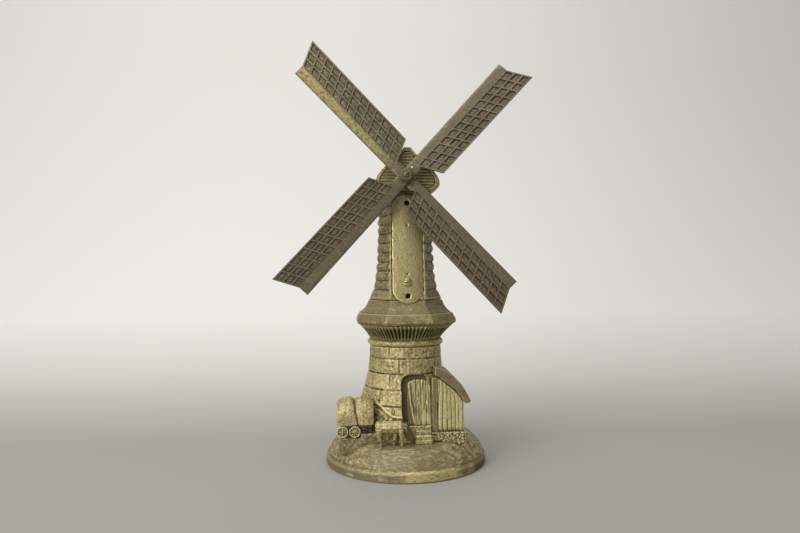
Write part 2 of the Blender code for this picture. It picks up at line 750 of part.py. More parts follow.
def build_cap():
    sections = []
    for y, wide, tall in CAP_STATIONS:
        section = [(x * wide, y * MM, CAP_BOTTOM + (z - CAP_BOTTOM) * tall) for x, z in cap_outline()]
        sections.append(section)
    cap = place("cap_hood", loft_mesh("cap_hood", sections), olive_patina)
    gable = flat_mesh("gable_recess", list(reversed(cap_outline(GABLE_SHARE))), 8 * MM)
    low, high = (-9 * MM, -20 * MM, CAP_BOTTOM - MM), (9 * MM, 12 * MM, 232 * MM)
    cut(
        cap,
        helper("gable_recess", gable, upright(GABLE_BACK + GAP - 4 * MM)),
        helper("cap_hollow", block_mesh("cap_hollow", low, high)),
        bush_bore("cap_bush_bore"),
    )


def build_gable():
    outline = list(reversed(cap_outline(GABLE_SHARE - 0.025)))
    gable = slab("gable_boards", outline, GABLE_FRONT, GABLE_BACK, worn_gilt)
    cut(gable, bush_bore("gable_bush_bore"))


def pipe_profile(outer, inner, low, high):
    return [(inner, high), (outer, high), (outer, low), (inner, low)]


def build_bush():
    profile = pipe_profile(BUSH_RADIUS, SPINDLE_RADIUS + 0.08 * MM, BUSH_BACK, BUSH_FRONT)
    place("shaft_bush", turned_mesh("shaft_bush", profile, 32), worn_gilt, rotor_frame())


def build_tie_rod():
    rod_top = 227 * MM - 1.5 * MM
    profile = [(0, rod_top), (2.3 * MM, rod_top), (2.3 * MM, 10.4 * MM), (0, 10.4 * MM)]
    place("tie_rod", turned_mesh("tie_rod", profile, 16), olive_patina)
    washer = pipe_profile(6 * MM, 2.7 * MM, SMOCK_TOP + GAP, SMOCK_TOP + GAP + MM)
    place("tie_washer", turned_mesh("tie_washer", washer, 24), olive_patina)
    low = SMOCK_TOP + 2 * GAP + MM
    nut = place("tie_nut", drum_mesh("tie_nut", 4.6 * MM, low, low + 4 * MM, 6), olive_patina)
    cut(nut, rod_bore("nut_bore", 2.7 * MM, low - MM, low + 5 * MM))


# ---------------------------------------------------------------- rotor


def sail_rows():
    """Distances along the fold of a sail's cross lines: a rim, the cells, a rim."""
    first, last = SAIL_INNER + SAIL_RIM, SAIL_OUTER - SAIL_RIM
    pitch = (last - first) / SAIL_ROWS
    return [SAIL_INNER] + [first + pitch * i for i in range(SAIL_ROWS + 1)] + [SAIL_OUTER]


def sail_columns():
    """Distances of a sail's lengthwise lines from the bar's middle, the plain board's edge left out."""
    pitch = (SAIL_EDGE - SAIL_RIM - FOLD) / SAIL_COLUMNS
    return [FOLD + pitch * i for i in range(SAIL_COLUMNS + 1)] + [SAIL_EDGE]


def board_edge(u):
    share = (u - SAIL_INNER) / (SAIL_OUTER - SAIL_INNER)
    return -ARM_HALF_WIDTH - (BOARD_TIP - ARM_HALF_WIDTH) * share


def add_sail(bm, turn, cells):
    """The face of one sail of a bar, with its half of the arm; cells marks the lattice's openings."""
    rows, columns = sail_rows(), sail_columns()

    def vert(u, v):
        return bm.verts.new(turn @ Vector((u, -v, 0)))

    board = [vert(u, board_edge(u)) for u in rows]
    lattice = [[vert(u + SAIL_SLANT * (v - FOLD), v) for v in columns] for u in rows]
    for i in range(len(rows) - 1):
        bm.faces.new((board[i], board[i + 1], lattice[i + 1][0], lattice[i][0]))
        for j in range(len(columns) - 1):
            corners = [lattice[i][j], lattice[i + 1][j], lattice[i + 1][j + 1], lattice[i][j + 1]]
            if i == 0 and j == 0:
                joint = vert(SAIL_INNER + SAIL_SLANT * (ARM_HALF_WIDTH - FOLD), ARM_HALF_WIDTH)
                corners.append(joint)
            face = bm.faces.new(corners)
            face[cells] = int(0 < i <= SAIL_ROWS and j < SAIL_COLUMNS)
    root = [vert(ARM_HALF_WIDTH, -ARM_HALF_WIDTH), vert(ARM_HALF_WIDTH, ARM_HALF_WIDTH)]
    bm.faces.new((root[0], board[0], lattice[0][0], joint, root[1]))
    return root


def bar_mesh(name):
    """Two opposite sails and the arm that joins them, pitched like a propeller's blades."""
    bm = bmesh.new()
    cells = bm.faces.layers.int.new("cells")
    right = add_sail(bm, Matrix.Identity(4), cells)
    left = add_sail(bm, Matrix.Rotation(math.pi, 4, "Z"), cells)
    bm.faces.new((right[0], right[1], left[0], left[1]))

    grown = bmesh.ops.extrude_face_region(bm, geom=bm.faces[:])
    top = [item for item in grown["geom"] if isinstance(item, bmesh.types.BMVert)]
    bmesh.ops.translate(bm, verts=top, vec=(0, 0, BAR_THICKNESS))
    bmesh.ops.translate(bm, verts=bm.verts, vec=(0, 0, -BAR_THICKNESS))
    bmesh.ops.recalc_face_normals(bm, faces=bm.faces)

    front = [f for f in bm.faces if f[cells] and f.calc_center_median().z > -BAR_THICKNESS / 2]
    back = [f for f in bm.faces if f[cells] and f.calc_center_median().z < -BAR_THICKNESS / 2]
    bmesh.ops.inset_individual(bm, faces=front, thickness=LATTICE_BAR / 2, depth=0, use_even_offset=True)
    bmesh.ops.inset_individual(bm, faces=front, thickness=CELL_DRAFT, depth=-CELL_DEPTH, use_even_offset=True)
    bmesh.ops.dissolve_faces(bm, faces=[f for f in back if f.is_valid])
    for vert in bm.verts:
        u = vert.co.x
        ramp = min(1.0, max(0.0, (abs(u) - 5 * MM) / (7 * MM)))
        vert.co.z -= math.tan(SAIL_PITCH) * vert.co.y * math.copysign(ramp, u)
    return mesh_of(bm, name)


def build_rotor():
    pivot = bpy.data.objects.new("rotor_pivot", None)
    PARTS.objects.link(pivot)
    pivot.matrix_world = rotor_frame()
    bore = drum_mesh("rotor_bore", ROTOR_BORE, -9 * MM, 9 * MM, 24)

    for name, angle, set_back in (
        ("front_sail_bar", BAR_ANGLE, 0),
        ("rear_sail_bar", -BAR_ANGLE, REAR_BAR_SET_BACK),
    ):
        turn = Matrix.Translation((0, 0, -set_back)) @ Matrix.Rotation(angle, 4, "Z")
        bar = place(name, bar_mesh(name), brown_patina, turn, pivot)
        cut(bar, helper(name + "_bore", bore.copy(), rotor_frame()))
        if set_back == 0:
            hole = drum_mesh("rivet_hole", 0.9 * MM + GAP, -5 * MM, 5 * MM, 16)
            cut(bar, helper("rivet_hole", hole, rotor_frame() @ rivet_place()))

    boss = [
        (2.3, 4.6), (3.7, 4.7), (4.3, 4.2), (4.5, 3.2), (5.2, 2.9), (5.5, 2.3), (5.5, 0.8), (5.2, 0.3),
        (2.3, 0.3),
    ]
    mesh = turned_mesh("hub_boss", [(r * MM, z * MM) for r, z in boss], 32)
    place("hub_boss", mesh, brown_patina, None, pivot)

    rivet = [(0, 1.2), (0.8, 1.0), (1.35, 0.3), (0.9, 0.3), (0.9, -2.0), (0, -2.0)]
    mesh = turned_mesh("bar_rivet", [(r * MM, z * MM) for r, z in rivet], 16)
    place("bar_rivet", mesh, worn_gilt, rivet_place(), pivot)

    spacer_front = -REAR_BAR_SET_BACK - BAR_THICKNESS - GAP
    profile = pipe_profile(4.5 * MM, ROTOR_BORE, BUSH_FRONT + GAP, spacer_front)
    place("hub_spacer", turned_mesh("hub_spacer", profile, 24), brown_patina, None, pivot)

    head = [(0, 5.6), (1.2, 5.5), (2.2, 5.0), (2.0, 5.0), (2.0, -25.5), (0, -25.5)]
    mesh = turned_mesh("spindle", [(r * MM, z * MM) for r, z in head], 32)
    place("spindle", mesh, olive_patina, None, pivot)

    profile = pipe_profile(4.4 * MM, ROTOR_BORE, BUSH_BACK - 3.5 * MM, BUSH_BACK - GAP)
    place("retaining_collar", turned_mesh("retaining_collar", profile, 24), olive_patina, None, pivot)


def rivet_place():
    """Beside the boss, out along the front bar's right arm."""
    return Matrix.Rotation(BAR_ANGLE, 4, "Z") @ Matrix.Translation((8.0 * MM, 0.8 * MM, 0))


def main():
    build_base()
    build_bank()
    build_lower_tower()
    build_door()
    build_steps()
    build_shed()
    build_wagon()
    build_animal()
    build_ring()
    build_corbel()
    build_skirt()
    build_smock()
    build_plate()
    build_plate_screw()
    build_cap()
    build_gable()
    build_bush()
    build_tie_rod()
    build_rotor()


main()
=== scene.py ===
"""Looks of a tabletop tower-mill ornament in gilt cast metal, with a four-sail rotor.

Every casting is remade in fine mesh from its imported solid, given the relief of the hand-cut
pattern that it was cast from, and finished as worn bronze-powder gilding over a brown patina.
Lengths inside the relief functions are millimetres; everything placed in the scene is metres.
"""

import itertools
import logging
import math
from collections.abc import Callable, Iterable, Sequence
from dataclasses import dataclass, field
from enum import Enum

import bmesh
import bpy
import numpy as np
from mathutils import Matrix, Vector


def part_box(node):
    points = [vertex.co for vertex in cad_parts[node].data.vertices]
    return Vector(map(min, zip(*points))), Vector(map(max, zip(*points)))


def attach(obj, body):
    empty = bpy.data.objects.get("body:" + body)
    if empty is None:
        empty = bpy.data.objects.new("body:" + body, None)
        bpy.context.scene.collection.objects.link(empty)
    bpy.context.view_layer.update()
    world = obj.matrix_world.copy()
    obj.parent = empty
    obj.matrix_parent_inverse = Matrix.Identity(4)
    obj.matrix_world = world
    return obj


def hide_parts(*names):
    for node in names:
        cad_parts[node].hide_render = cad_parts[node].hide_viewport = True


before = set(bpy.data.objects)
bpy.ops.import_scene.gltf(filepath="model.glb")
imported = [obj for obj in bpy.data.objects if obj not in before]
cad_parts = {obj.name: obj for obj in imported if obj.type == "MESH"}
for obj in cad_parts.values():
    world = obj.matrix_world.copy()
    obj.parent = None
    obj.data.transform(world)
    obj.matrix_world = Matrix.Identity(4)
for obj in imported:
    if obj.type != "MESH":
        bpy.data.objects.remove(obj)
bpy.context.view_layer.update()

LOG = logging.getLogger("mill")
MM = 0.001
Array = np.ndarray
Relief = Callable[[Array, Array], tuple[Array, Array]]


class Body(Enum):
    """The rigid bodies that pieces ride on."""

    TOWER = "tower"
    ROTOR = "rotor"


class Slot(Enum):
    """The record's material slots."""

    GILT = "worn_gilt"
    OLIVE = "olive_patina"
    BROWN = "brown_patina"
    BRASS = "bare_brass"
    STEEL = "plain_steel"


# ---------------------------------------------------------------- repeatable noise


def hashed(cells: Array, seed: int) -> Array:
    """A repeatable number from 0 to 1 for each whole-numbered cell.

    Args:
        cells: Whole numbers, the last axis of length 3.
        seed: Picks one of many unrelated patterns.

    Returns:
        One value a cell.
    """
    x, y, z = (cells[..., axis].astype(np.int64).astype(np.uint32) for axis in range(3))
    mixed = x * np.uint32(374761393) + y * np.uint32(668265263) + z * np.uint32(2246822519)
    mixed = mixed + np.uint32(seed * 362437 + 1013904223)
    mixed = (mixed ^ (mixed >> np.uint32(13))) * np.uint32(1274126177)
    mixed = (mixed ^ (mixed >> np.uint32(16))) * np.uint32(2654435761)
    return ((mixed >> np.uint32(9)) & np.uint32(0xFFFF)) / 65535.0


def lumps(points: Array, size: float | Sequence[float], seed: int) -> Array:
    """Smooth random lumps from -1 to 1.

    Args:
        points: Positions in millimetres.
        size: The width of one lump, or one width for each axis.
        seed: Picks the pattern.

    Returns:
        One height a point.
    """
    scaled = points / np.asarray(size, float)
    low = np.floor(scaled)
    ease = scaled - low
    ease = ease * ease * (3 - 2 * ease)
    total = np.zeros(len(points))
    for corner in itertools.product((0, 1), repeat=3):
        share = np.prod(np.where(corner, ease, 1 - ease), axis=1)
        total += share * hashed(low + corner, seed)
    return 2 * total - 1


def rough(points: Array, size: float | Sequence[float], seed: int, octaves: int = 3) -> Array:
    """Lumps on lumps, each finer and lower than the last.

    Args:
        points: Positions in millimetres.
        size: The width of the largest lump.
        seed: Picks the pattern.
        octaves: How many sizes are added up.

    Returns:
        One height a point, about -1 to 1.
    """
    width = np.asarray(size, float)
    return sum(lumps(points, width / 2**i, seed + i) / 2**i for i in range(octaves)) / 1.5


def rubble(points: Array, size: float, seed: int) -> Array:
    """How deep inside its own stone each point lies: 0 on a joint, 1 in a stone's middle.

    Args:
        points: Positions in millimetres.
        size: The usual width of a stone.
        seed: Picks the pattern.

    Returns:
        One value a point.
    """
    scaled = points / size
    low = np.floor(scaled)
    nearest = np.full(len(points), 9.0)
    second = np.full(len(points), 9.0)
    for step in itertools.product((-1, 0, 1), repeat=3):
        cell = low + step
        heart = cell + 0.15 + 0.7 * np.stack([hashed(cell, seed + axis) for axis in range(3)], axis=1)
        reach = np.linalg.norm(scaled - heart, axis=1)
        second = np.minimum(second, np.maximum(nearest, reach))
        nearest = np.minimum(nearest, reach)
    return np.clip((second - nearest) * 2.2, 0, 1)


def groove(distance: Array, width: float) -> Array:
    """A rounded groove: 1 on its line, falling to 0 a width away.

    Args:
        distance: Distance from the line.
        width: Half the groove's width.

    Returns:
        One value a point.
    """
    return np.exp(-((distance / width) ** 2))


def ramp(value: Array, low: float, high: float) -> Array:
    """An eased step from 0 at low to 1 at high.

    Args:
        value: What is stepped.
        low: Where the step starts.
        high: Where it ends; it may be below low.

    Returns:
        One value a point.
    """
    share = np.clip((value - low) / (high - low), 0, 1)
    return share * share * (3 - 2 * share)


def to_line(value: Array, pitch: float, first: float = 0.0) -> Array:
    """Distance to the nearest of a row of evenly spaced lines.

    Args:
        value: Position across the lines.
        pitch: Distance from line to line.
        first: Where one of them lies.

    Returns:
        One distance a point.
    """
    share = (value - first) / pitch
    return np.abs(share - np.round(share)) * pitch


# ---------------------------------------------------------------- materials


def linear(hex_colour: str) -> tuple[float, float, float, float]:
    """An sRGB hex colour as linear RGBA.

    Args:
        hex_colour: Six hex digits, with or without a leading hash.

    Returns:
        Red, green, blue and an alpha of 1.
    """
    digits = hex_colour.lstrip("#")
    channels = [int(digits[i : i + 2], 16) / 255 for i in (0, 2, 4)]
    red, green, blue = (c / 12.92 if c <= 0.04045 else ((c + 0.055) / 1.055) ** 2.4 for c in channels)
    return red, green, blue, 1.0


def add_node(tree: bpy.types.NodeTree, kind: str, settings: dict = {}, **links) -> bpy.types.Node:
    """Adds a node, sets its properties and fills or links its inputs.

    Args:
        tree: The material's node tree.
        kind: The node's type, without the ShaderNode prefix.
        settings: Properties of the node itself.
        **links: Inputs by name, with underscores for spaces, or by index as i0, i1 and so on.
            A socket is linked, and anything else becomes the input's value.

    Returns:
        The new node.
    """
    node = tree.nodes.new("ShaderNode" + kind)
    for key, value in settings.items():
        setattr(node, key, value)
    for key, value in links.items():
        is_index = key[0] == "i" and key[1:].isdigit()
        socket = node.inputs[int(key[1:])] if is_index else node.inputs[key.replace("_", " ")]
        if isinstance(value, bpy.types.NodeSocket):
            tree.links.new(value, socket)
        else:
            socket.default_value = value
    return node


@dataclass(frozen=True)
class CastGilding:
    """Bronze-powder gilding on cast metal, brown where it has tarnished.

    The powder was brushed on and has been handled since: high points are rubbed to pale gold,
    hollows keep the dark patina, and the flats are mottled between the two at a few millimetres.
    """

    name: str
    flat: str
    hollow: str
    rubbed: str
    gold: str = "C3AC70"
    tarnish: str = "6B5F48"
    mottle_mm: float = 5.0
    speck_mm: float = 0.9
    specks: float = 0.5
    flecks: float = 0.5
    mottling: float = 0.55
    streak: tuple[float, float, float] = (1.0, 1.0, 1.0)
    roughness: float = 0.5
    metallic: float = 0.55
    grain_mm: float = 0.45

    def build(self) -> bpy.types.Material:
        """Makes the node material.

        Returns:
            The finished material.
        """
        material = bpy.data.materials.new(self.name)
        material.use_nodes = True
        tree = material.node_tree
        tree.nodes.clear()
        place = add_node(tree, "TexCoord").outputs["Object"]
        drawn = add_node(tree, "Mapping", i0=place, Scale=self.streak).outputs[0]
        # The rubbing attribute and the gilding attribute below also carry painted light and painted shade from
        # some pieces' reliefs.
        wear_and_shade = add_node(tree, "Attribute", {"attribute_name": "wear_and_shade"}).outputs["Fac"]
        gilt = add_node(tree, "Attribute", {"attribute_name": "gilding"}).outputs["Fac"]

        mottle = self._noise(tree, drawn, self.mottle_mm, 4.0, 0.6)
        fleck = self._noise(tree, drawn, self.speck_mm * 2.2, 3.0, 0.7)
        speck = self._noise(tree, drawn, self.speck_mm, 2.0, 0.6)
        grain = self._noise(tree, place, self.grain_mm, 2.0, 0.5)

        patches = self._step(tree, mottle, 0.42, 0.66, self.mottling)
        colour = self._mix(tree, patches, linear(self.flat), linear(self.tarnish))
        light = self._step(tree, fleck, 0.5, 0.66, self.flecks)
        colour = self._mix(tree, light, colour, linear(self.rubbed))
        gold_share = add_node(tree, "Math", {"operation": "MULTIPLY"}, i0=gilt,
                              i1=self._step(tree, fleck, 0.36, 0.52, 1.0)).outputs[0]
        colour = self._mix(tree, gold_share, colour, linear(self.gold))
        bare = self._step(tree, wear_and_shade, 0.54, 0.76, 0.9)
        colour = self._mix(tree, bare, colour, linear(self.rubbed))
        # Low values darken towards the hollow colour: patina in real hollows, and painted shade where reliefs
        # marked recesses, undersides and corners dark.
        hollow_and_painted_shade = self._step(tree, wear_and_shade, 0.46, 0.24, 0.92)
        colour = self._mix(tree, hollow_and_painted_shade, colour, linear(self.hollow))
        pits = self._step(tree, speck, 0.56, 0.68, self.specks)
        colour = self._mix(tree, pits, colour, linear(self.hollow))

        shine = add_node(tree, "MapRange", {"clamp": True}, Value=wear_and_shade, i1=0.2, i2=0.8,
                         i3=self.metallic * 0.7, i4=min(1.0, self.metallic * 1.35)).outputs[0]
        dull = add_node(tree, "MapRange", {"clamp": True}, Value=fleck, i1=0.3, i2=0.7,
                        i3=self.roughness + 0.13, i4=self.roughness - 0.1).outputs[0]
        height = add_node(tree, "Math", {"operation": "MULTIPLY_ADD"},
                          i0=speck, i1=0.6, i2=grain).outputs[0]
        bump = add_node(tree, "Bump", Strength=0.35, Distance=0.25 * MM, Height=height).outputs[0]
        shader = add_node(tree, "BsdfPrincipled", Base_Color=colour, Metallic=shine, Roughness=dull,
                          Normal=bump)
        add_node(tree, "OutputMaterial", Surface=shader.outputs[0])
        return material

    @staticmethod
    def _noise(tree: bpy.types.NodeTree, vector: bpy.types.NodeSocket, size_mm: float,
               detail: float, rough_share: float) -> bpy.types.NodeSocket:
        """Noise whose lumps are about size_mm across.

        Args:
            tree: The material's node tree.
            vector: Where the pattern is read.
            size_mm: The width of one lump.
            detail: How many finer sizes are added.
            rough_share: How strong the finer sizes are.

        Returns:
            The noise value's socket.
        """
        return add_node(tree, "TexNoise", i0=vector, Scale=1 / (size_mm * MM), Detail=detail,
                        Roughness=rough_share).outputs[0]

    @staticmethod
    def _step(tree: bpy.types.NodeTree, value: bpy.types.NodeSocket, low: float, high: float,
              most: float) -> bpy.types.NodeSocket:
        """Maps low to 0 and high to most, eased and clamped.

        Args:
            tree: The material's node tree.
            value: The socket that is mapped.
            low: The value that gives 0.
            high: The value that gives most.
            most: The largest result.

        Returns:
            The mapped value's socket.
        """
        return add_node(tree, "MapRange", {"interpolation_type": "SMOOTHSTEP"}, Value=value,
                        i1=low, i2=high, i3=0.0, i4=most).outputs[0]

    @staticmethod
    def _mix(tree: bpy.types.NodeTree, share: bpy.types.NodeSocket, first: object,
             second: object) -> bpy.types.NodeSocket:
        """Mixes two colours, each a socket or linear RGBA.

        Args:
            tree: The material's node tree.
            share: How much of the second colour.
            first: The colour at 0.
            second: The colour at 1.

        Returns:
            The mixed colour's socket.
        """
        return add_node(tree, "Mix", {"data_type": "RGBA"}, i0=share, i6=first, i7=second).outputs[2]


@dataclass(frozen=True)
class TurnedMetal:
    """Bar stock turned on a lathe: fine rings at a tenth of a millimetre, drawn coarser to show."""

    name: str
    colour: str
    stained: str
    roughness: float
    ring_mm: float = 0.5

    def build(self) -> bpy.types.Material:
        """Makes the node material.

        Returns:
            The finished material.
        """
        material = bpy.data.materials.new(self.name)
        material.use_nodes = True
        tree = material.node_tree
        tree.nodes.clear()
        place = add_node(tree, "TexCoord").outputs["Object"]
        stain = add_node(tree, "TexNoise", i0=place, Scale=1 / (3 * MM), Detail=3.0).outputs[0]
        share = add_node(tree, "MapRange", Value=stain, i1=0.4, i2=0.65).outputs[0]
        colour = add_node(tree, "Mix", {"data_type": "RGBA"}, i0=share, i6=linear(self.colour),
                          i7=linear(self.stained)).outputs[2]
        dull = add_node(tree, "MapRange", Value=stain, i1=0.3, i2=0.7, i3=self.roughness - 0.08,
                        i4=self.roughness + 0.12).outputs[0]
        rings = add_node(tree, "TexWave", {"bands_direction": "Y"}, i0=place,
                         Scale=1 / (self.ring_mm * MM * 6)).outputs[1]
        bump = add_node(tree, "Bump", Strength=0.15, Distance=0.05 * MM, Height=rings).outputs[0]
        shader = add_node(tree, "BsdfPrincipled", Base_Color=colour, Metallic=1.0, Roughness=dull,
                          Normal=bump)
        add_node(tree, "OutputMaterial", Surface=shader.outputs[0])
        return material


# ---------------------------------------------------------------- meshes


def link(name: str, mesh: bpy.types.Mesh) -> bpy.types.Object:
    """Puts a mesh in the scene as an object at the origin."""
    made = bpy.data.objects.new(name, mesh)
    bpy.context.scene.collection.objects.link(made)
    return made


def applied(obj: bpy.types.Object) -> bpy.types.Mesh:
    """The object's mesh with its modifiers applied; the object itself is removed.

    Args:
        obj: A working object.

    Returns:
        A mesh of its own.
    """
    bpy.context.view_layer.update()
    graph = bpy.context.evaluated_depsgraph_get()
    mesh = bpy.data.meshes.new_from_object(obj.evaluated_get(graph))
    bpy.data.objects.remove(obj, do_unlink=True)
    return mesh


def remeshed(mesh: bpy.types.Mesh, voxel_mm: float) -> bpy.types.Mesh:
    """A copy of a closed mesh in even quads.

    Args:
        mesh: One or more closed shells.
        voxel_mm: The quads' size.

    Returns:
        The new mesh.
    """
    work = link("remesh_work", mesh.copy())
    modifier = work.modifiers.new("even", "REMESH")
    modifier.mode = "VOXEL"
    modifier.voxel_size = voxel_mm * MM
    return applied(work)


def read_points(mesh: bpy.types.Mesh) -> Array:
    """The mesh's vertex positions in millimetres."""
    flat = np.empty(len(mesh.vertices) * 3)
    mesh.vertices.foreach_get("co", flat)
    return flat.reshape(-1, 3) / MM


def write_points(mesh: bpy.types.Mesh, points: Array) -> None:
    """Moves the mesh's vertices to positions in millimetres."""
    mesh.vertices.foreach_set("co", (points * MM).astype(np.float32).ravel())
    mesh.update()


def read_normals(mesh: bpy.types.Mesh) -> Array:
    """The mesh's vertex normals."""
    flat = np.empty(len(mesh.vertices) * 3)
    mesh.vertices.foreach_get("normal", flat)
    return flat.reshape(-1, 3)


def read_edges(mesh: bpy.types.Mesh) -> Array:
    """The mesh's edges as pairs of vertex numbers."""
    flat = np.empty(len(mesh.edges) * 2, np.int64)
    mesh.edges.foreach_get("vertices", flat)
    return flat.reshape(-1, 2)


def neighbour_mean(values: Array, edges: Array) -> Array:
    """Each vertex's mean over the vertices it shares an edge with.

    Args:
        values: One row a vertex.
        edges: Pairs of vertex numbers.

    Returns:
        The means, in the shape of values.
    """
    total = np.zeros_like(values)
    np.add.at(total, edges[:, 0], values[edges[:, 1]])
    np.add.at(total, edges[:, 1], values[edges[:, 0]])
    count = np.bincount(edges.ravel(), minlength=len(values)).clip(1)
    return total / (count[:, None] if values.ndim == 2 else count)


def write_attribute(mesh: bpy.types.Mesh, name: str, values: Array) -> None:
    """Stores one number a vertex under a name that materials read."""
    layer = mesh.attributes.new(name, "FLOAT", "POINT")
    layer.data.foreach_set("value", values.astype(np.float32))


def mark_wear(mesh: bpy.types.Mesh, height: Array, gilding: Array) -> None:
    """Works out where hands have rubbed the casting, where dirt has stayed and where painted shade darkens it.

    Args:
        mesh: The finished mesh.
        height: Its relief in millimetres, high points above 0.
        gilding: Where bright gold is left, from 0 to 1, with painted light added on some pieces; below 0 it
            darkens the casting, as grime on some pieces and as painted shade on others.
    """
    edges = read_edges(mesh)
    points = read_points(mesh)
    lengths = np.linalg.norm(points[edges[:, 0]] - points[edges[:, 1]], axis=1)
    bulge = ((points - neighbour_mean(points, edges)) * read_normals(mesh)).sum(axis=1)
    bulge /= max(float(lengths.mean()), 1e-6)
    for _ in range(2):
        bulge = 0.5 * bulge + 0.5 * neighbour_mean(bulge, edges)
    wear_and_shade = 0.5 + 2.2 * bulge + 0.22 * np.clip(height, -1.2, 1.2) + 0.45 * np.minimum(gilding, 0)
    write_attribute(mesh, "wear_and_shade", np.clip(wear_and_shade, 0, 1))
    write_attribute(mesh, "gilding", np.clip(gilding, 0, 1))


def no_relief(points: Array, normals: Array) -> tuple[Array, Array]:
    """The relief of a plain casting: slight sand-cast unevenness only."""
    return 0.08 * rough(points, 3.0, 71), np.zeros(len(points))


def settle(piece: bpy.types.Object, body: Body, slot: Slot, material: bpy.types.Material,
           nodes: Iterable[str] = ()) -> bpy.types.Object:
    """Finishes a piece: its material, the body it rides on and the CAD nodes it stands for.

    Args:
        piece: The piece, in place.
        body: What it moves with.
        slot: The record's slot for the piece; not used.
        material: Its material.
        nodes: The CAD nodes it replaces.

    Returns:
        The piece.
    """
    piece.data.materials.clear()
    piece.data.materials.append(material)
    for polygon in piece.data.polygons:
        polygon.material_index = 0
    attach(piece, body.value)
    if nodes:
        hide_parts(*nodes)
    LOG.info("%s: %d faces on %s", piece.name, len(piece.data.polygons), body.value)
    return piece


@dataclass
class Casting:
    """One cast piece: a CAD solid in fine mesh, with its relief and its finish."""

    node: str
    name: str
    slot: Slot
    finish: CastGilding
    voxel_mm: float
    relief: Relief = no_relief
    body: Body = Body.TOWER
    soften: int = 1

    def build(self, materials: "Finishes") -> bpy.types.Object:
        """Makes the piece.

        Args:
            materials: Where built materials are kept.

        Returns:
            The finished piece.
        """
        mesh = remeshed(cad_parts[self.node].data, self.voxel_mm)
        return self.dress(mesh, materials)

    def dress(self, mesh: bpy.types.Mesh, materials: "Finishes") -> bpy.types.Object:
        """Softens a mesh, gives it its relief and settles it.

        Args:
            mesh: A closed mesh in the part's frame.
            materials: Where built materials are kept.

        Returns:
            The finished piece.
        """
        edges = read_edges(mesh)
        points = read_points(mesh)
        for _ in range(self.soften):
            points = 0.5 * points + 0.5 * neighbour_mean(points, edges)
        write_points(mesh, points)
        normals = read_normals(mesh)
        height, gilding = self.relief(points, normals)
        write_points(mesh, points + normals * height[:, None])
        mark_wear(mesh, height, gilding)
        mesh.shade_smooth()
        return settle(link(self.name, mesh), self.body, self.slot,
                      materials.get(self.finish), [self.node])


class Finishes:
    """Builds each finish once and hands out its material."""

    def __init__(self) -> None:
        """Starts with none built."""
        self._built: dict[str, bpy.types.Material] = {}

    def get(self, finish: "CastGilding | TurnedMetal") -> bpy.types.Material:
        """The material of a finish, built on its first use."""
        if finish.name not in self._built:
            self._built[finish.name] = finish.build()
        return self._built[finish.name]


# Cast stonework under bronze powder: dull and speckled, bright only where hands have rubbed it.
STONE_GILDING = CastGilding(
    "gilt_stonework", flat="A99968", hollow="4E4426", rubbed="DCD0A0", gold="CDBE88", tarnish="8E8058",
    mottle_mm=5, specks=0.85, flecks=0.7, speck_mm=0.9, roughness=0.58, metallic=0.5)
# The same powder on trodden ground: browner and matt, with level streaks.
GROUND_GILDING = CastGilding(
    "gilt_ground", flat="877A5C", hollow="584D34", rubbed="BBAE84", gold="CFBF84", tarnish="786B50",
    mottle_mm=5, specks=0.4, streak=(0.5, 1.0, 2.0), roughness=0.58)
# On cast boards: paler, with upright streaks along the grain.
BOARD_GILDING = CastGilding(
    "gilt_boards", flat="C0B180", hollow="5C5130", rubbed="E6DAA8", gold="DCCE95", tarnish="9C8D62",
    mottle_mm=4, specks=0.55, flecks=0.6, streak=(1.6, 1.6, 0.5), roughness=0.46)
# On the smooth plate: the shiniest gilding, with dark spots where it has worn through.
PLATE_GILDING = CastGilding(
    "gilt_plate", flat="B3A372", hollow="4E4528", rubbed="D3C593", gold="C9BA80", tarnish="85764E",
    mottle_mm=6, specks=0.7, flecks=0.6, streak=(1.5, 1.0, 0.35), roughness=0.36, metallic=0.75)
# Bare castings gone olive: satin, quiet, with worn arrises.
OLIVE_PATINA = CastGilding(
    "olive_patina_cast", flat="877A58", hollow="3C3520", rubbed="BDAE80", gold="B8A66C", tarnish="706446",
    mottle_mm=7, specks=0.35, flecks=0.35, roughness=0.55, metallic=0.5)
# Deep relief that was never rubbed: nearly black between bright ribs.
CORBEL_PATINA = CastGilding(
    "dark_patina_corbel", flat="6E6546", hollow="211D0F", rubbed="B5A878", gold="A3945F", tarnish="4F4729",
    mottle_mm=4, specks=0.3, roughness=0.6, metallic=0.4)
# Thin sail castings gone brown: even and satin, with pale lattice edges.
BROWN_PATINA = CastGilding(
    "brown_patina_sails", flat="756B55", hollow="40382A", rubbed="BBAF8B", gold="A6985F", tarnish="6F604B",
    mottle_mm=9, specks=0.35, flecks=0.3, roughness=0.5, metallic=0.55)
# The boss, darkened by handling grease.
DARK_BOSS = CastGilding(
    "brown_patina_boss", flat="655C46", hollow="3A3222", rubbed="968B6C", gold="A3956C", tarnish="5C5140",
    mottle_mm=4, specks=0.3, flecks=0.2, roughness=0.55, metallic=0.5)
# A rivet head rubbed to white metal: the one bright glint.
POLISHED_HEAD = CastGilding(
    "rubbed_rivet_head", flat="DAD4C0", hollow="6A6350", rubbed="F2EEE0", gold="E5DEC8", tarnish="B5AD98",
    specks=0.2, roughness=0.25, metallic=0.9)
# Lathe-turned fixings: fine rings that stretch the highlight. Brass, the same browned, and zinc.
TURNED_BRASS = TurnedMetal("turned_brass", "B8974C", "6E5A30", 0.32)
BROWNED_BRASS = TurnedMetal("browned_brass", "7E735A", "5A503C", 0.5)
PLAIN_STEEL = TurnedMetal("zinc_plated_steel", "8C8C8A", "5A5850", 0.38)


# ---------------------------------------------------------------- base and ground


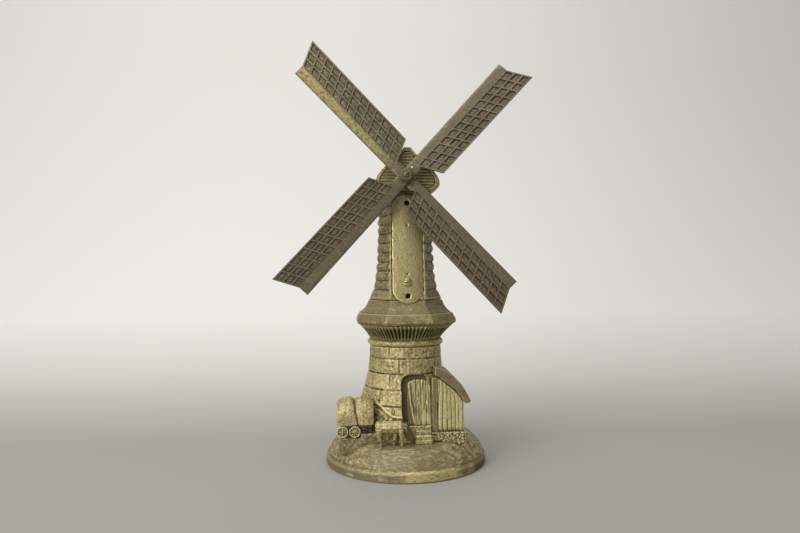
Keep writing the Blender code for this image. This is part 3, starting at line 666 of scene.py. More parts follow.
@dataclass
class GroundBase:
    """The round base with its mound of ground, and the bank that the wagon stands on."""

    rim_mm: float = 64.0
    rim_height: float = 6.6
    clump_mm: float = 2.4
    finish: CastGilding = GROUND_GILDING

    def ground(self, points: Array, normals: Array) -> tuple[Array, Array]:
        """Streaky trodden earth, clumps near the edge, and a dented rim.

        Args:
            points: Positions in millimetres.
            normals: Vertex normals.

        Returns:
            Height and gilding.
        """
        radius = np.hypot(points[:, 0], points[:, 1])
        below = ramp(normals[:, 2], -0.6, -0.3)
        streaks = rough(points, (9.0, 2.6, 2.2), 11) * 0.34
        clumps = rough(points, self.clump_mm, 12) * 0.45
        verge = ramp(radius, 38, 56) * (1 - ramp(radius, self.rim_mm - 1.5, self.rim_mm))
        side = ramp(np.abs(points[:, 0] + 4), 18, 44)
        rim = ramp(radius, self.rim_mm - 0.8, self.rim_mm + 0.5)
        height = streaks + clumps * (0.25 + 0.75 * verge * side)
        height = height * (1 - rim) + rim * 0.16 * rough(points, (3.0, 3.0, 2.0), 13)
        height -= 0.35 * groove(radius - self.rim_mm + 0.6, 0.5) * ramp(points[:, 2], 5, 6.5)
        # The rim's front arc gets strong gilding: a painted highlight where it faces the lamps.
        front = ramp(-points[:, 1], 50, 60) * ramp(points[:, 0], -14, 2)
        front *= 1 - ramp(points[:, 0], 30, 44)
        facing = 0.45 + 0.55 * ramp(points[:, 1], 12, -12)
        patches = ramp(rough(points, (5, 2, 2), 14), -0.2, 0.6)
        patches *= 0.25 + 0.9 * verge * side * facing
        scuffed = 0.8 * ramp(lumps(points, (9, 9, 9), 15), 0.25, 0.5)
        # The rim's right end is painted darker.
        right_end_dark = 0.7 * ramp(points[:, 0], 34, 50)
        edge = groove(points[:, 2] - self.rim_height, 0.9) * ramp(radius, self.rim_mm - 1.2, self.rim_mm)
        gilding = rim * (np.maximum(1.4 * front, scuffed) - right_end_dark) + patches * (1 - rim) + 0.5 * edge
        return height * below, gilding * below

    def bank(self, points: Array, normals: Array) -> tuple[Array, Array]:
        """Rough earth with a broken face.

        Args:
            points: Positions in millimetres.
            normals: Vertex normals; not used.

        Returns:
            Height and gilding.
        """
        height = 0.5 * rough(points, 4.0, 21) + 0.3 * rough(points, 1.6, 22)
        return height, 0.35 * ramp(lumps(points, 6, 23), 0.1, 0.7)

    def build(self, materials: Finishes) -> None:
        """Makes the base and the bank."""
        Casting("base_plinth", "ground_base", Slot.GILT, self.finish, 0.8, self.ground).build(materials)
        Casting("ground_bank", "earth_bank", Slot.GILT, self.finish, 0.5, self.bank).build(materials)


# ---------------------------------------------------------------- stone tower


@dataclass
class StoneTower:
    """The round lower tower, in coursed, rock-faced stone."""

    first_joint: float = 85.7
    course: float = 12.0
    stone_length: float = 19.0
    joint_width: float = 0.62
    joint_depth: float = 0.6
    top_radius: float = 29.3
    batter: float = 0.185
    batter_from: float = 90.1
    waist: float = 1.7
    waist_z: float = 73.0
    waist_spread: float = 13.0
    recess_x: tuple[float, float] = (-7.0, 19.0)
    recess_z: tuple[float, float] = (34.0, 77.0)
    heap_x: tuple[float, ...] = (-30.0, -20.0, -13.0, -4.0, 0.0)
    heap_z: tuple[float, ...] = (57.0, 48.0, 42.5, 41.5, 36.0)
    finish: CastGilding = STONE_GILDING

    def wall_radius(self, z: Array) -> Array:
        """The wall's plain radius at each height, in millimetres."""
        drawn_in = self.waist * groove(z - self.waist_z, self.waist_spread)
        return self.top_radius + self.batter * np.maximum(0.0, self.batter_from - z) - drawn_in

    def stones(self, points: Array, normals: Array) -> tuple[Array, Array]:
        """Courses of stones with sunk joints, each face knocked rough.

        Args:
            points: Positions in millimetres.
            normals: Vertex normals.

        Returns:
            Height and gilding.
        """
        x, y, z = points.T
        radius = np.hypot(x, y)
        outer = ramp(radius - self.wall_radius(z), -1.5, -0.9) * ramp(normals[:, 2], 0.9, 0.6)
        level = (self.first_joint - z) / self.course
        course = np.floor(level)
        row = np.stack([course, np.zeros_like(x), np.zeros_like(x)], axis=1)
        around = np.arctan2(x, -y) * self.top_radius / self.stone_length * 1.2 + 3 * hashed(row, 31)
        stone = np.floor(around)
        cell = np.stack([course, stone, np.ones_like(x)], axis=1)
        across = np.abs(around - stone - 0.5)
        wander = 0.8 * lumps(points, 9, 33) + 0.4 * lumps(points, 3, 38)
        bed = np.abs(to_line(level, 1.0) * self.course + wander)
        upright = np.abs((0.5 - across) * self.stone_length + wander)
        fade = 0.35 + 0.65 * ramp(lumps(points, 8, 39), -0.5, 0.2)
        joint = np.maximum(groove(bed, self.joint_width), groove(upright, self.joint_width)) * fade
        face = 0.36 * rough(points, 4.2, 34) + 0.34 * rough(points, 1.5, 35, 2)
        face += 0.5 * (hashed(cell, 36) - 0.6)
        height = face * (1 - joint) - self.joint_depth * joint
        bank, ridge = self.earth_line(x, z, y)
        height = height * (1 - bank) + bank * (0.35 + 0.6 * rough(points, 3.0, 48)) + 0.9 * ridge
        gilding = (0.2 + 0.8 * ramp(lumps(points, 8, 37), -0.3, 0.4)) * (1 - bank) - 0.45 * bank
        (left, right), (low, high) = self.recess_x, self.recess_z
        # Inside the door recess, behind the wall face, the casting is darkened: painted shade in the recess.
        doorway = ramp(x, left, left + 2) * ramp(x, right, right - 2) * ramp(z, low, low + 2)
        doorway *= ramp(z, high, high - 2) * ramp(y, -22, -24)
        return height * outer, gilding * outer - 0.8 * doorway * (1 - outer)

    def earth_line(self, x: Array, z: Array, y: Array) -> tuple[Array, Array]:
        """The earth heaped on the wall between the wagon and the steps.

        Args:
            x: Positions across.
            z: Heights.
            y: Positions towards the back.

        Returns:
            How far inside the heap each point is, and the raised line along its top.
        """
        line = np.interp(x, self.heap_x, self.heap_z)
        front = ramp(y, -24, -28) * ramp(x, 2, -1)
        return ramp(z, line + 0.6, line - 0.6) * front, groove(z - line, 0.9) * front

    def build(self, materials: Finishes) -> None:
        """Makes the tower."""
        Casting("lower_tower", "stone_tower", Slot.GILT,
                self.finish, 0.62, self.stones).build(materials)


# ---------------------------------------------------------------- doorway


@dataclass
class Doorway:
    """The boarded door in its arched recess, and the steps up to it."""

    centre_x: float = 5.8
    board: float = 3.9
    finish: CastGilding = BOARD_GILDING

    def boards(self, points: Array, normals: Array) -> tuple[Array, Array]:
        """Vertical boards with a curved drape hanging down the hinge side, the drape and the strip beside it
        painted dark as the jamb's shadow.

        Args:
            points: Positions in millimetres.
            normals: Vertex normals; not used.

        Returns:
            Height and gilding.
        """
        x, _, z = points.T
        joint = groove(to_line(x + 0.3 * lumps(points, (6, 6, 12), 42), self.board, self.centre_x), 0.3)
        grain = 0.22 * rough(points, (1.1, 1.1, 9.0), 41)
        sweep = 0.2 + 4.4 * np.clip((70 - z) / 34, 0, 1) ** 1.6
        fold = groove(x - sweep, 1.1)
        behind = ramp(x - sweep, -0.8, -1.6)
        height = grain - 0.28 * joint * (1 - fold) + 0.5 * fold - 0.4 * behind
        shine = 0.55 * ramp(rough(points, (2, 2, 8), 46), -0.2, 0.6) - 0.35
        # The drape and the strip behind it are darkened: painted shadow of the jamb.
        return height, shine * (1 - fold) * (1 - behind) - 0.9 * fold - 0.5 * behind

    def treads(self, points: Array, normals: Array) -> tuple[Array, Array]:
        """Worn stone treads.

        Args:
            points: Positions in millimetres.
            normals: Vertex normals; not used.

        Returns:
            Height and gilding.
        """
        height = 0.3 * rough(points, 3.0, 43) + 0.15 * rough(points, 1.2, 44)
        return height, 0.5 * ramp(lumps(points, 5, 45), 0, 0.6)

    def build(self, materials: Finishes) -> None:
        """Makes the door and the steps."""
        Casting("entrance_door", "boarded_door", Slot.GILT,
                self.finish, 0.4, self.boards).build(materials)
        Casting("door_steps", "stone_steps", Slot.GILT,
                STONE_GILDING, 0.45, self.treads).build(materials)


# ---------------------------------------------------------------- lean-to


@dataclass
class LeanTo:
    """The lean-to: rubble footing, vertical boards, a corner post and a thick bowed roof."""

    board: float = 3.1
    rubble_mm: float = 2.6
    foot_z: float = 30.4

    def boards(self, points: Array, normals: Array) -> tuple[Array, Array]:
        """Vertical boards of uneven height with open joints.

        Args:
            points: Positions in millimetres.
            normals: Vertex normals.

        Returns:
            Height and gilding.
        """
        x, y, z = points.T
        faces_front = ramp(-normals[:, 1], 0.4, 0.7)
        along = np.where(np.abs(normals[:, 0]) > np.abs(normals[:, 1]), y, x)
        bent = along + 0.7 * lumps(points, (4, 4, 16), 51)
        shut = 0.3 + 0.7 * ramp(lumps(points, (4, 4, 9), 55), -0.4, 0.2)
        joint = groove(to_line(bent, self.board, 1.1), 0.3) * shut
        cell = np.stack([np.floor((bent - 1.1) / self.board), faces_front, faces_front * 0], axis=1)
        step = 0.35 * (hashed(cell, 52) - 0.5)
        grain = 0.2 * rough(points, (1.0, 1.0, 9.0), 53) + 0.14 * rough(points, 1.3, 57)
        shade = ramp(lumps(points, (30, 30, 9), 54), -0.2, 0.6)
        foot = groove(z - self.foot_z, 2.2)
        return (step + grain) * (1 - joint) - 0.6 * joint - 0.5 * foot, 0.75 + 0.6 * shade - 1.5 * foot

    def footing(self, points: Array, normals: Array) -> tuple[Array, Array]:
        """Rubble stones under a plain ledge.

        Args:
            points: Positions in millimetres.
            normals: Vertex normals; not used.

        Returns:
            Height and gilding.
        """
        stones = rubble(points, self.rubble_mm, 56)
        height = 0.9 * np.sqrt(stones) - 0.65 + 0.2 * rough(points, 1.3, 57)
        return height, 0.5 * ramp(lumps(points, 4, 58), 0, 0.6)

    def thatch(self, points: Array, normals: Array) -> tuple[Array, Array]:
        """A thick covering, combed downhill.

        Args:
            points: Positions in millimetres.
            normals: Vertex normals; not used.

        Returns:
            Height and gilding.
        """
        combed = 0.3 * rough(points, (5.0, 1.6, 5.0), 61)
        return combed + 0.1 * rough(points, 1.2, 62), 0.15 * ramp(lumps(points, 6, 63), 0.2, 0.7)

    def timber(self, points: Array, normals: Array) -> tuple[Array, Array]:
        """Adzed timber, its hollows running up the post.

        Args:
            points: Positions in millimetres.
            normals: Vertex normals; not used.

        Returns:
            Height and gilding.
        """
        return 0.28 * rough(points, (1.6, 1.6, 7.0), 64), np.zeros(len(points))

    def build(self, materials: Finishes) -> None:
        """Makes the footing, the boards, the post and the roof."""
        for casting in (
            Casting("shed_plinth", "rubble_footing", Slot.GILT, STONE_GILDING, 0.5, self.footing),
            Casting("shed_walls", "lean_to_boards", Slot.GILT, BOARD_GILDING, 0.5, self.boards),
            Casting("shed_corner_post", "corner_post", Slot.OLIVE, OLIVE_PATINA, 0.4, self.timber),
            Casting("shed_roof", "lean_to_roof", Slot.OLIVE, OLIVE_PATINA, 0.5, self.thatch),
        ):
            casting.build(materials)


# ---------------------------------------------------------------- wagon


@dataclass
class Wagon:
    """The covered wagon: a tilt in two bays, its bed and its wheels."""

    left: float = -56.0
    right: float = -27.5
    spokes: int = 8
    felloe: float = 0.14
    hub: float = 0.24
    spoke: float = 0.07
    finish: CastGilding = STONE_GILDING

    def canvas(self, points: Array, normals: Array) -> tuple[Array, Array]:
        """Canvas strokes running down between the hoops.

        Args:
            points: Positions in millimetres.
            normals: Vertex normals.

        Returns:
            Height and gilding.
        """
        share = (points[:, 0] - self.left) / (self.right - self.left)
        hoop = groove((share - 0.5 + 0.006 * (points[:, 2] - 50)) * (self.right - self.left), 1.0)
        strokes = 0.34 * rough(points, (1.4, 3.5, 8.0), 66) + 0.16 * rough(points, 1.2, 67)
        top = ramp(normals[:, 2], 0.3, 0.8)
        shine = 0.35 + 0.65 * ramp(lumps(points, 6, 68), -0.3, 0.4)
        return strokes - 0.7 * hoop, shine * (1 - 0.8 * top)

    def build(self, materials: Finishes) -> None:
        """Makes the tilt, the bed and the wheels."""
        Casting("wagon_cover", "wagon_tilt", Slot.GILT, self.finish, 0.45, self.canvas).build(materials)
        # The bed takes the near-black corbel finish and is darkened further: painted shadow under the tilt.
        Casting("wagon_bed", "wagon_bed_casting", Slot.OLIVE,
                CORBEL_PATINA, 0.5, self.shaded).build(materials)
        for node in ("wagon_front_wheel", "wagon_rear_wheel"):
            self._wheel(node, materials)

    def shaded(self, points: Array, normals: Array) -> tuple[Array, Array]:
        """Rough timber, darkened all over as painted shadow under the tilt.

        Args:
            points: Positions in millimetres.
            normals: Vertex normals; not used.

        Returns:
            Height and gilding.
        """
        return 0.25 * rough(points, (5.0, 2.0, 2.0), 69), np.full(len(points), -0.5)

    def spoked(self, points: Array, normals: Array) -> tuple[Array, Array]:
        """Lumpy castings, gold on their high points only.

        Args:
            points: Positions in millimetres.
            normals: Vertex normals; not used.

        Returns:
            Height and gilding.
        """
        return 0.24 * rough(points, 1.6, 70), 0.4 * ramp(lumps(points, 2.5, 72), -0.2, 0.5)

    def _wheel(self, node: str, materials: Finishes) -> None:
        """A spoked wheel inside one CAD disc.

        Args:
            node: The CAD disc's node.
            materials: Where built materials are kept.
        """
        low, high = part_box(node)
        centre = (low + high) / 2
        radius = (high.x - low.x) / 2
        depth = high.y - low.y
        bm = bmesh.new()
        turn = Matrix.Translation(centre) @ Matrix.Rotation(math.radians(90), 4, "X")
        rim = radius * self.felloe
        self._ring(bm, turn, radius - rim, rim)
        back = turn @ Matrix.Translation((0, 0, -depth * 0.3))
        self._rod(bm, turn, 20, (radius * self.hub, radius * 0.18), depth)
        self._rod(bm, back, 32, (radius * 0.9, radius * 0.9), depth * 0.35)
        for i in range(self.spokes):
            arm = turn @ Matrix.Rotation(math.tau * i / self.spokes, 4, "Z")
            lay = arm @ Matrix.Translation((radius * 0.5, 0, 0)) @ Matrix.Rotation(math.radians(90), 4, "Y")
            self._rod(bm, lay, 8, (radius * self.spoke, radius * self.spoke), radius * 0.86)
        mesh = bpy.data.meshes.new(node + "_rough")
        bm.to_mesh(mesh)
        bm.free()
        casting = Casting(node, node + "_casting", Slot.GILT, self.finish, 0.22, self.spoked)
        casting.dress(remeshed(mesh, casting.voxel_mm), materials)

    @staticmethod
    def _rod(bm: bmesh.types.BMesh, place: Matrix, sides: int, ends: tuple[float, float], long: float) -> None:
        """Adds a tapered rod about the frame's Z axis.

        Args:
            bm: The mesh it is added to.
            place: The frame, at the rod's middle.
            sides: How many sides it has.
            ends: The radius at each end.
            long: Its length.
        """
        bmesh.ops.create_cone(bm, cap_ends=True, segments=sides, radius1=ends[0], radius2=ends[1],
                              depth=long, matrix=place)

    @staticmethod
    def _ring(bm: bmesh.types.BMesh, turn: Matrix, radius: float, thickness: float) -> None:
        """Adds a torus about the frame's Z axis.

        Args:
            bm: The mesh it is added to.
            turn: The frame.
            radius: From the axis to the tube's middle.
            thickness: The tube's radius.
        """
        around, section = 36, 10
        rings = []
        for i in range(around):
            angle = math.tau * i / around
            row = []
            for j in range(section):
                tilt = math.tau * j / section
                reach = radius + thickness * math.cos(tilt)
                height = thickness * math.sin(tilt)
                spot = Vector((reach * math.cos(angle), reach * math.sin(angle), height))
                row.append(bm.verts.new(turn @ spot))
            rings.append(row)
        for i, j in itertools.product(range(around), range(section)):
            near, far = rings[i], rings[(i + 1) % around]
            k = (j + 1) % section
            bm.faces.new((near[j], far[j], far[k], near[k]))


# ---------------------------------------------------------------- horse


@dataclass
class DraughtHorse:
    """The horse, cast with its head lowered, in harness."""

    blanket: tuple[float, float] = (-22.0, -9.0)
    straps: tuple[tuple[float, float], ...] = ((-8.3, 0.9), (-3.5, 0.8))
    finish: CastGilding = STONE_GILDING

    def coat(self, points: Array, normals: Array) -> tuple[Array, Array]:
        """A coat of short strokes, with the blanket and the straps raised on it.

        Args:
            points: Positions in millimetres.
            normals: Vertex normals; not used.

        Returns:
            Height and gilding.
        """
        x, _, z = points.T
        left, right = self.blanket
        blanket = ramp(z, 36, 37.2) * ramp(x, left, left + 1.5) * ramp(x, right, right - 1.5)
        strap = sum(groove(x - at, width) * ramp(z, 30, 32) for at, width in self.straps)
        height = 0.2 * rough(points, 1.6, 76) + 0.35 * blanket + 0.35 * strap
        # The upper body is painted lighter, as painted light on top; below z 30 the legs are painted darker,
        # as painted shade under the body; the head end is darker too.
        lit = 0.5 * ramp(z, 30, 36) + 0.25 * blanket
        return height, lit * ramp(x, -4, -8) - 0.75 * ramp(x, -6.5, -3.5) - 0.5 * ramp(z, 30, 26)

    def build(self, materials: Finishes) -> None:
        """Makes the horse."""
        Casting("draught_horse", "grazing_horse", Slot.GILT,
                self.finish, 0.3, self.coat).build(materials)


# ---------------------------------------------------------------- gallery


@dataclass
class Gallery:
    """The bead ring, the ribbed corbel and the eight-sided skirt."""

    ribs: int = 72
    rib_share: float = 0.36
    rib_depth: float = 1.7
    lip_z: float = 112.0
    ledge_z: float = 120.6
    ring_finish: CastGilding = STONE_GILDING

    def bead(self, points: Array, normals: Array) -> tuple[Array, Array]:
        """A lumpy roll moulding.

        Args:
            points: Positions in millimetres.
            normals: Vertex normals; not used.

        Returns:
            Height and gilding.
        """
        outer = ramp(np.hypot(points[:, 0], points[:, 1]), 25, 27)
        height = 0.42 * rough(points, (3.2, 3.2, 2.4), 81) * outer
        # Next to the tower the ring is darkened: painted shade above and below the roll.
        return height, outer * (0.3 + 0.9 * ramp(lumps(points, 3.5, 82), -0.2, 0.5)) - 0.4 * (1 - outer)

    def hem(self, points: Array, normals: Array) -> tuple[Array, Array]:
        """Smooth slopes, with a chipped lower edge.

        Args:
            points: Positions in millimetres.
            normals: Vertex normals; not used.

        Returns:
            Height and gilding.
        """
        z = points[:, 2]
        edge = ramp(z, self.lip_z + 4, self.lip_z + 2) * ramp(z, self.lip_z, self.lip_z + 1)
        ledge = groove(z - self.ledge_z, 0.45)
        under = groove(z - self.ledge_z - 0.9, 0.5)
        height = 0.14 * rough(points, 5.0, 83) + 0.3 * edge * rough(points, 2.0, 84)
        height += 0.25 * ledge - 0.3 * under
        gilding = 0.9 * edge * ramp(lumps(points, 3, 85), 0.05, 0.45) + 0.55 * ledge
        return height, gilding + 0.3 * ramp(lumps(points, 9, 86), 0.1, 0.6)

    def build(self, materials: Finishes) -> None:
        """Makes the ring, the corbel and the skirt."""
        Casting("bead_ring", "bead_ring_casting", Slot.GILT,
                self.ring_finish, 0.45, self.bead).build(materials)
        corbel = Casting("gallery_corbel", "ribbed_corbel", Slot.OLIVE, CORBEL_PATINA, 0.4,
                         self.ribs_worn, soften=0)
        corbel.dress(self._corbel_mesh(), materials)
        Casting("gallery_skirt", "gallery_skirt_casting", Slot.OLIVE,
                OLIVE_PATINA, 0.6, self.hem).build(materials)

    def ribs_worn(self, points: Array, normals: Array) -> tuple[Array, Array]:
        """Rubbed ribs with dark hollows between them.

        Args:
            points: Positions in millimetres.
            normals: Vertex normals; not used.

        Returns:
            Height and gilding.
        """
        angle = np.arctan2(points[:, 1], points[:, 0])
        phase = to_line(angle * self.ribs / math.tau, 1.0) * 2
        crest = ramp(phase, 0.4, 0.1)
        chipped = ramp(lumps(points, 2.2, 87), -0.7, 0.1)
        return 0.08 * rough(points, 1.5, 88), 1.1 * crest * chipped - 1.3 * ramp(phase, 0.4, 0.6)

    def _corbel_mesh(self) -> bpy.types.Mesh:
        """A flared drum with rounded ribs, round below and eight-sided above.

        Returns:
            The mesh, in metres.
        """
        low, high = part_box("gallery_corbel")
        bottom, top = low.z / MM, high.z / MM
        side, start, bore = high.y / MM, 29.0, 16.0
        around, rows = self.ribs * 12, 9
        angle = np.linspace(0, math.tau, around, endpoint=False)
        eighth = math.pi / 4
        off = (angle + math.pi / 2 + eighth / 2) % eighth - eighth / 2
        octagon = side / np.cos(off)
        phase = to_line(angle * self.ribs / math.tau, 1.0) * 2
        ridge = ramp(phase, self.rib_share + 0.22, self.rib_share - 0.08)
        loops = [np.full(around, bore)]
        heights = [bottom]
        for i in range(rows):
            share = i / (rows - 1)
            flare = share**1.15
            outer = start * (1 - flare) + octagon * flare
            depth = self.rib_depth * min(1.0, 0.35 + 2.2 * share)
            loops.append(outer - depth * (1 - ridge))
            heights.append(bottom + (top - bottom) * share)
        loops.append(np.full(around, bore))
        heights.append(top)
        points = [np.stack([r * np.cos(angle), r * np.sin(angle), np.full(around, z)], axis=1)
                  for r, z in zip(loops, heights)]
        count = len(points)
        faces = [(i * around + j, i * around + (j + 1) % around,
                  (i + 1) % count * around + (j + 1) % around, (i + 1) % count * around + j)
                 for i in range(count) for j in range(around)]
        mesh = bpy.data.meshes.new("ribbed_corbel")
        mesh.from_pydata((np.concatenate(points) * MM).tolist(), [], faces)
        bm = bmesh.new()
        bm.from_mesh(mesh)
        bmesh.ops.recalc_face_normals(bm, faces=bm.faces)
        bm.to_mesh(mesh)
        bm.free()
        return mesh


# ---------------------------------------------------------------- smock tower


@dataclass
class SmockTower:
    """The tapering eight-sided tower in rusticated courses, and the plate let into its front."""

    bottom: float = 131.8
    course: float = 7.4
    plain_below: float = 136.0
    height: float = 85.8
    rock_length: float = 9.0
    border_x: float = 13.4
    border_taper: float = 2.1
    plate_half: float = 12.1

    def courses(self, points: Array, normals: Array) -> tuple[Array, Array]:
        """Rock-faced courses on the sides, and a plain front with a raised border.

        Args:
            points: Positions in millimetres.
            normals: Vertex normals.

        Returns:
            Height and gilding.
        """
        x, y, z = points.T
        outer = ramp(np.hypot(x, y), 17, 19)
        front = ramp(-normals[:, 1], 0.9, 0.985)
        above = ramp(z, self.plain_below, self.plain_below + 3)
        row = np.floor((z - self.bottom - 0.6) / self.course)
        around = np.arctan2(x, -y) * 24 / self.rock_length
        cell = np.stack([row, np.floor(around + 0.5 * (row % 2)), row * 0], axis=1)
        bed = to_line(z + 0.25 * lumps(points, 6, 98), self.course, self.bottom + 0.6)
        chips = 0.42 * rough(points, (4.0, 4.0, 2.6), 91) + 0.26 * rough(points, 1.6, 92, 2)
        upright = groove(to_line(around + 0.5 * (row % 2), 1.0) * self.rock_length, 0.4)
        sides = chips + 0.3 * (hashed(cell, 93) - 0.5) - 0.2 * upright - 0.3 * groove(bed, 0.8)
        sides += 0.2 * groove(bed - self.course / 2, 1.8)
        share = (z - self.bottom) / self.height
        border = groove(np.abs(x) - (self.border_x - self.border_taper * share), 0.45)
        ledge = groove(z - self.bottom - 1.6, 0.5)
        height = sides * (1 - front) * above + 0.07 * rough(points, 3.0, 94) + 0.4 * border * front
        height += 0.35 * ledge * (1 - front)
        # Side facets on the left get extra gilding: painted light on the side the key light comes from.
        left = ramp(x, 4, -12) * (1 - front)
        worn = front * (0.3 + 0.7 * border) * ramp(lumps(points, 6, 95), -0.4, 0.4)
        return height * outer, (0.6 * left * ramp(lumps(points, 4, 99), -0.5, 0.3) + worn) * outer

    def face(self, points: Array, normals: Array) -> tuple[Array, Array]:
        """The plate's crowned face, scuffed lengthwise.

        Args:
            points: Positions in millimetres.
            normals: Vertex normals.

        Returns:
            Height and gilding.
        """
        x = points[:, 0]
        front = ramp(-normals[:, 1], 0.2, 0.7)
        crown = 0.9 * (1 - (x / self.plate_half) ** 2).clip(0) ** 0.8
        scuffs = 0.06 * rough(points, (1.2, 1.2, 6.0), 96)
        height = (crown + scuffs) * front
        # Bright gilding down the middle of the plate is a painted highlight along its crown.
        return height, ramp(np.abs(x + 0.5), 8, 1) * 0.8 * ramp(lumps(points, (4, 4, 16), 97), -0.6, 0.3)

    def build(self, materials: Finishes) -> None:
        """Makes the tower, its plate and the screw."""
        Casting("smock_tower", "smock_tower_casting", Slot.OLIVE,
                OLIVE_PATINA, 0.58, self.courses).build(materials)
        Casting("scale_plate", "scale_backplate", Slot.GILT,
                PLATE_GILDING, 0.4, self.face).build(materials)
        Casting("plate_screw", "slotted_screw", Slot.GILT, PLATE_GILDING, 0.2).build(materials)


# ---------------------------------------------------------------- cap


@dataclass
class Cap:
    """The bell-shaped hood and the louvred gable set back inside its front rim."""

    louvre: float = 2.4
    base: float = 217.9
    rim_y: float = -28.5

    def hood(self, points: Array, normals: Array) -> tuple[Array, Array]:
        """A smooth hood, faintly combed, with a scuffed front rim, its gilding painted lighter to the left as
        painted light.

        Args:
            points: Positions in millimetres.
            normals: Vertex normals; not used.

        Returns:
            Height and gilding.
        """
        rim = ramp(points[:, 1], self.rim_y, self.rim_y - 2)
        combed = 0.16 * rough(points, (3.0, 9.0, 3.0), 101)
        # The rim's gilding grows to the left: painted light from the key on that side.
        left = ramp(points[:, 0], -8, -20)
        return combed + 0.12 * rim * rough(points, 2.0, 102), rim * (0.3 + 0.7 * left)

    def louvres(self, points: Array, normals: Array) -> tuple[Array, Array]:
        """Sloping slats, each overhanging the next.

        Args:
            points: Positions in millimetres.
            normals: Vertex normals.

        Returns:
            Height and gilding.
        """
        front = ramp(-normals[:, 1], 0.5, 0.8)
        share = ((points[:, 2] - self.base) / self.louvre) % 1.0
        slat = 0.55 - 1.15 * share - 0.35 * groove(share - 0.02, 0.1)
        patchy = ramp(lumps(points, 5, 103), -0.3, 0.5)
        # The top of each slat, tucked under the next slat's lip, is darkened: painted shade under the
        # overhang.
        shine = 0.5 * patchy * ramp(share, 0.5, 0.2) - 0.45 * ramp(share, 0.75, 0.95)
        return slat * front * 0.55, front * shine

    def build(self, materials: Finishes) -> None:
        """Makes the hood and the gable."""
        Casting("cap_hood", "bell_cap", Slot.OLIVE, OLIVE_PATINA, 0.5, self.hood).build(materials)
        Casting("gable_boards", "louvred_gable", Slot.GILT,
                OLIVE_PATINA, 0.3, self.louvres).build(materials)


# ---------------------------------------------------------------- rotor


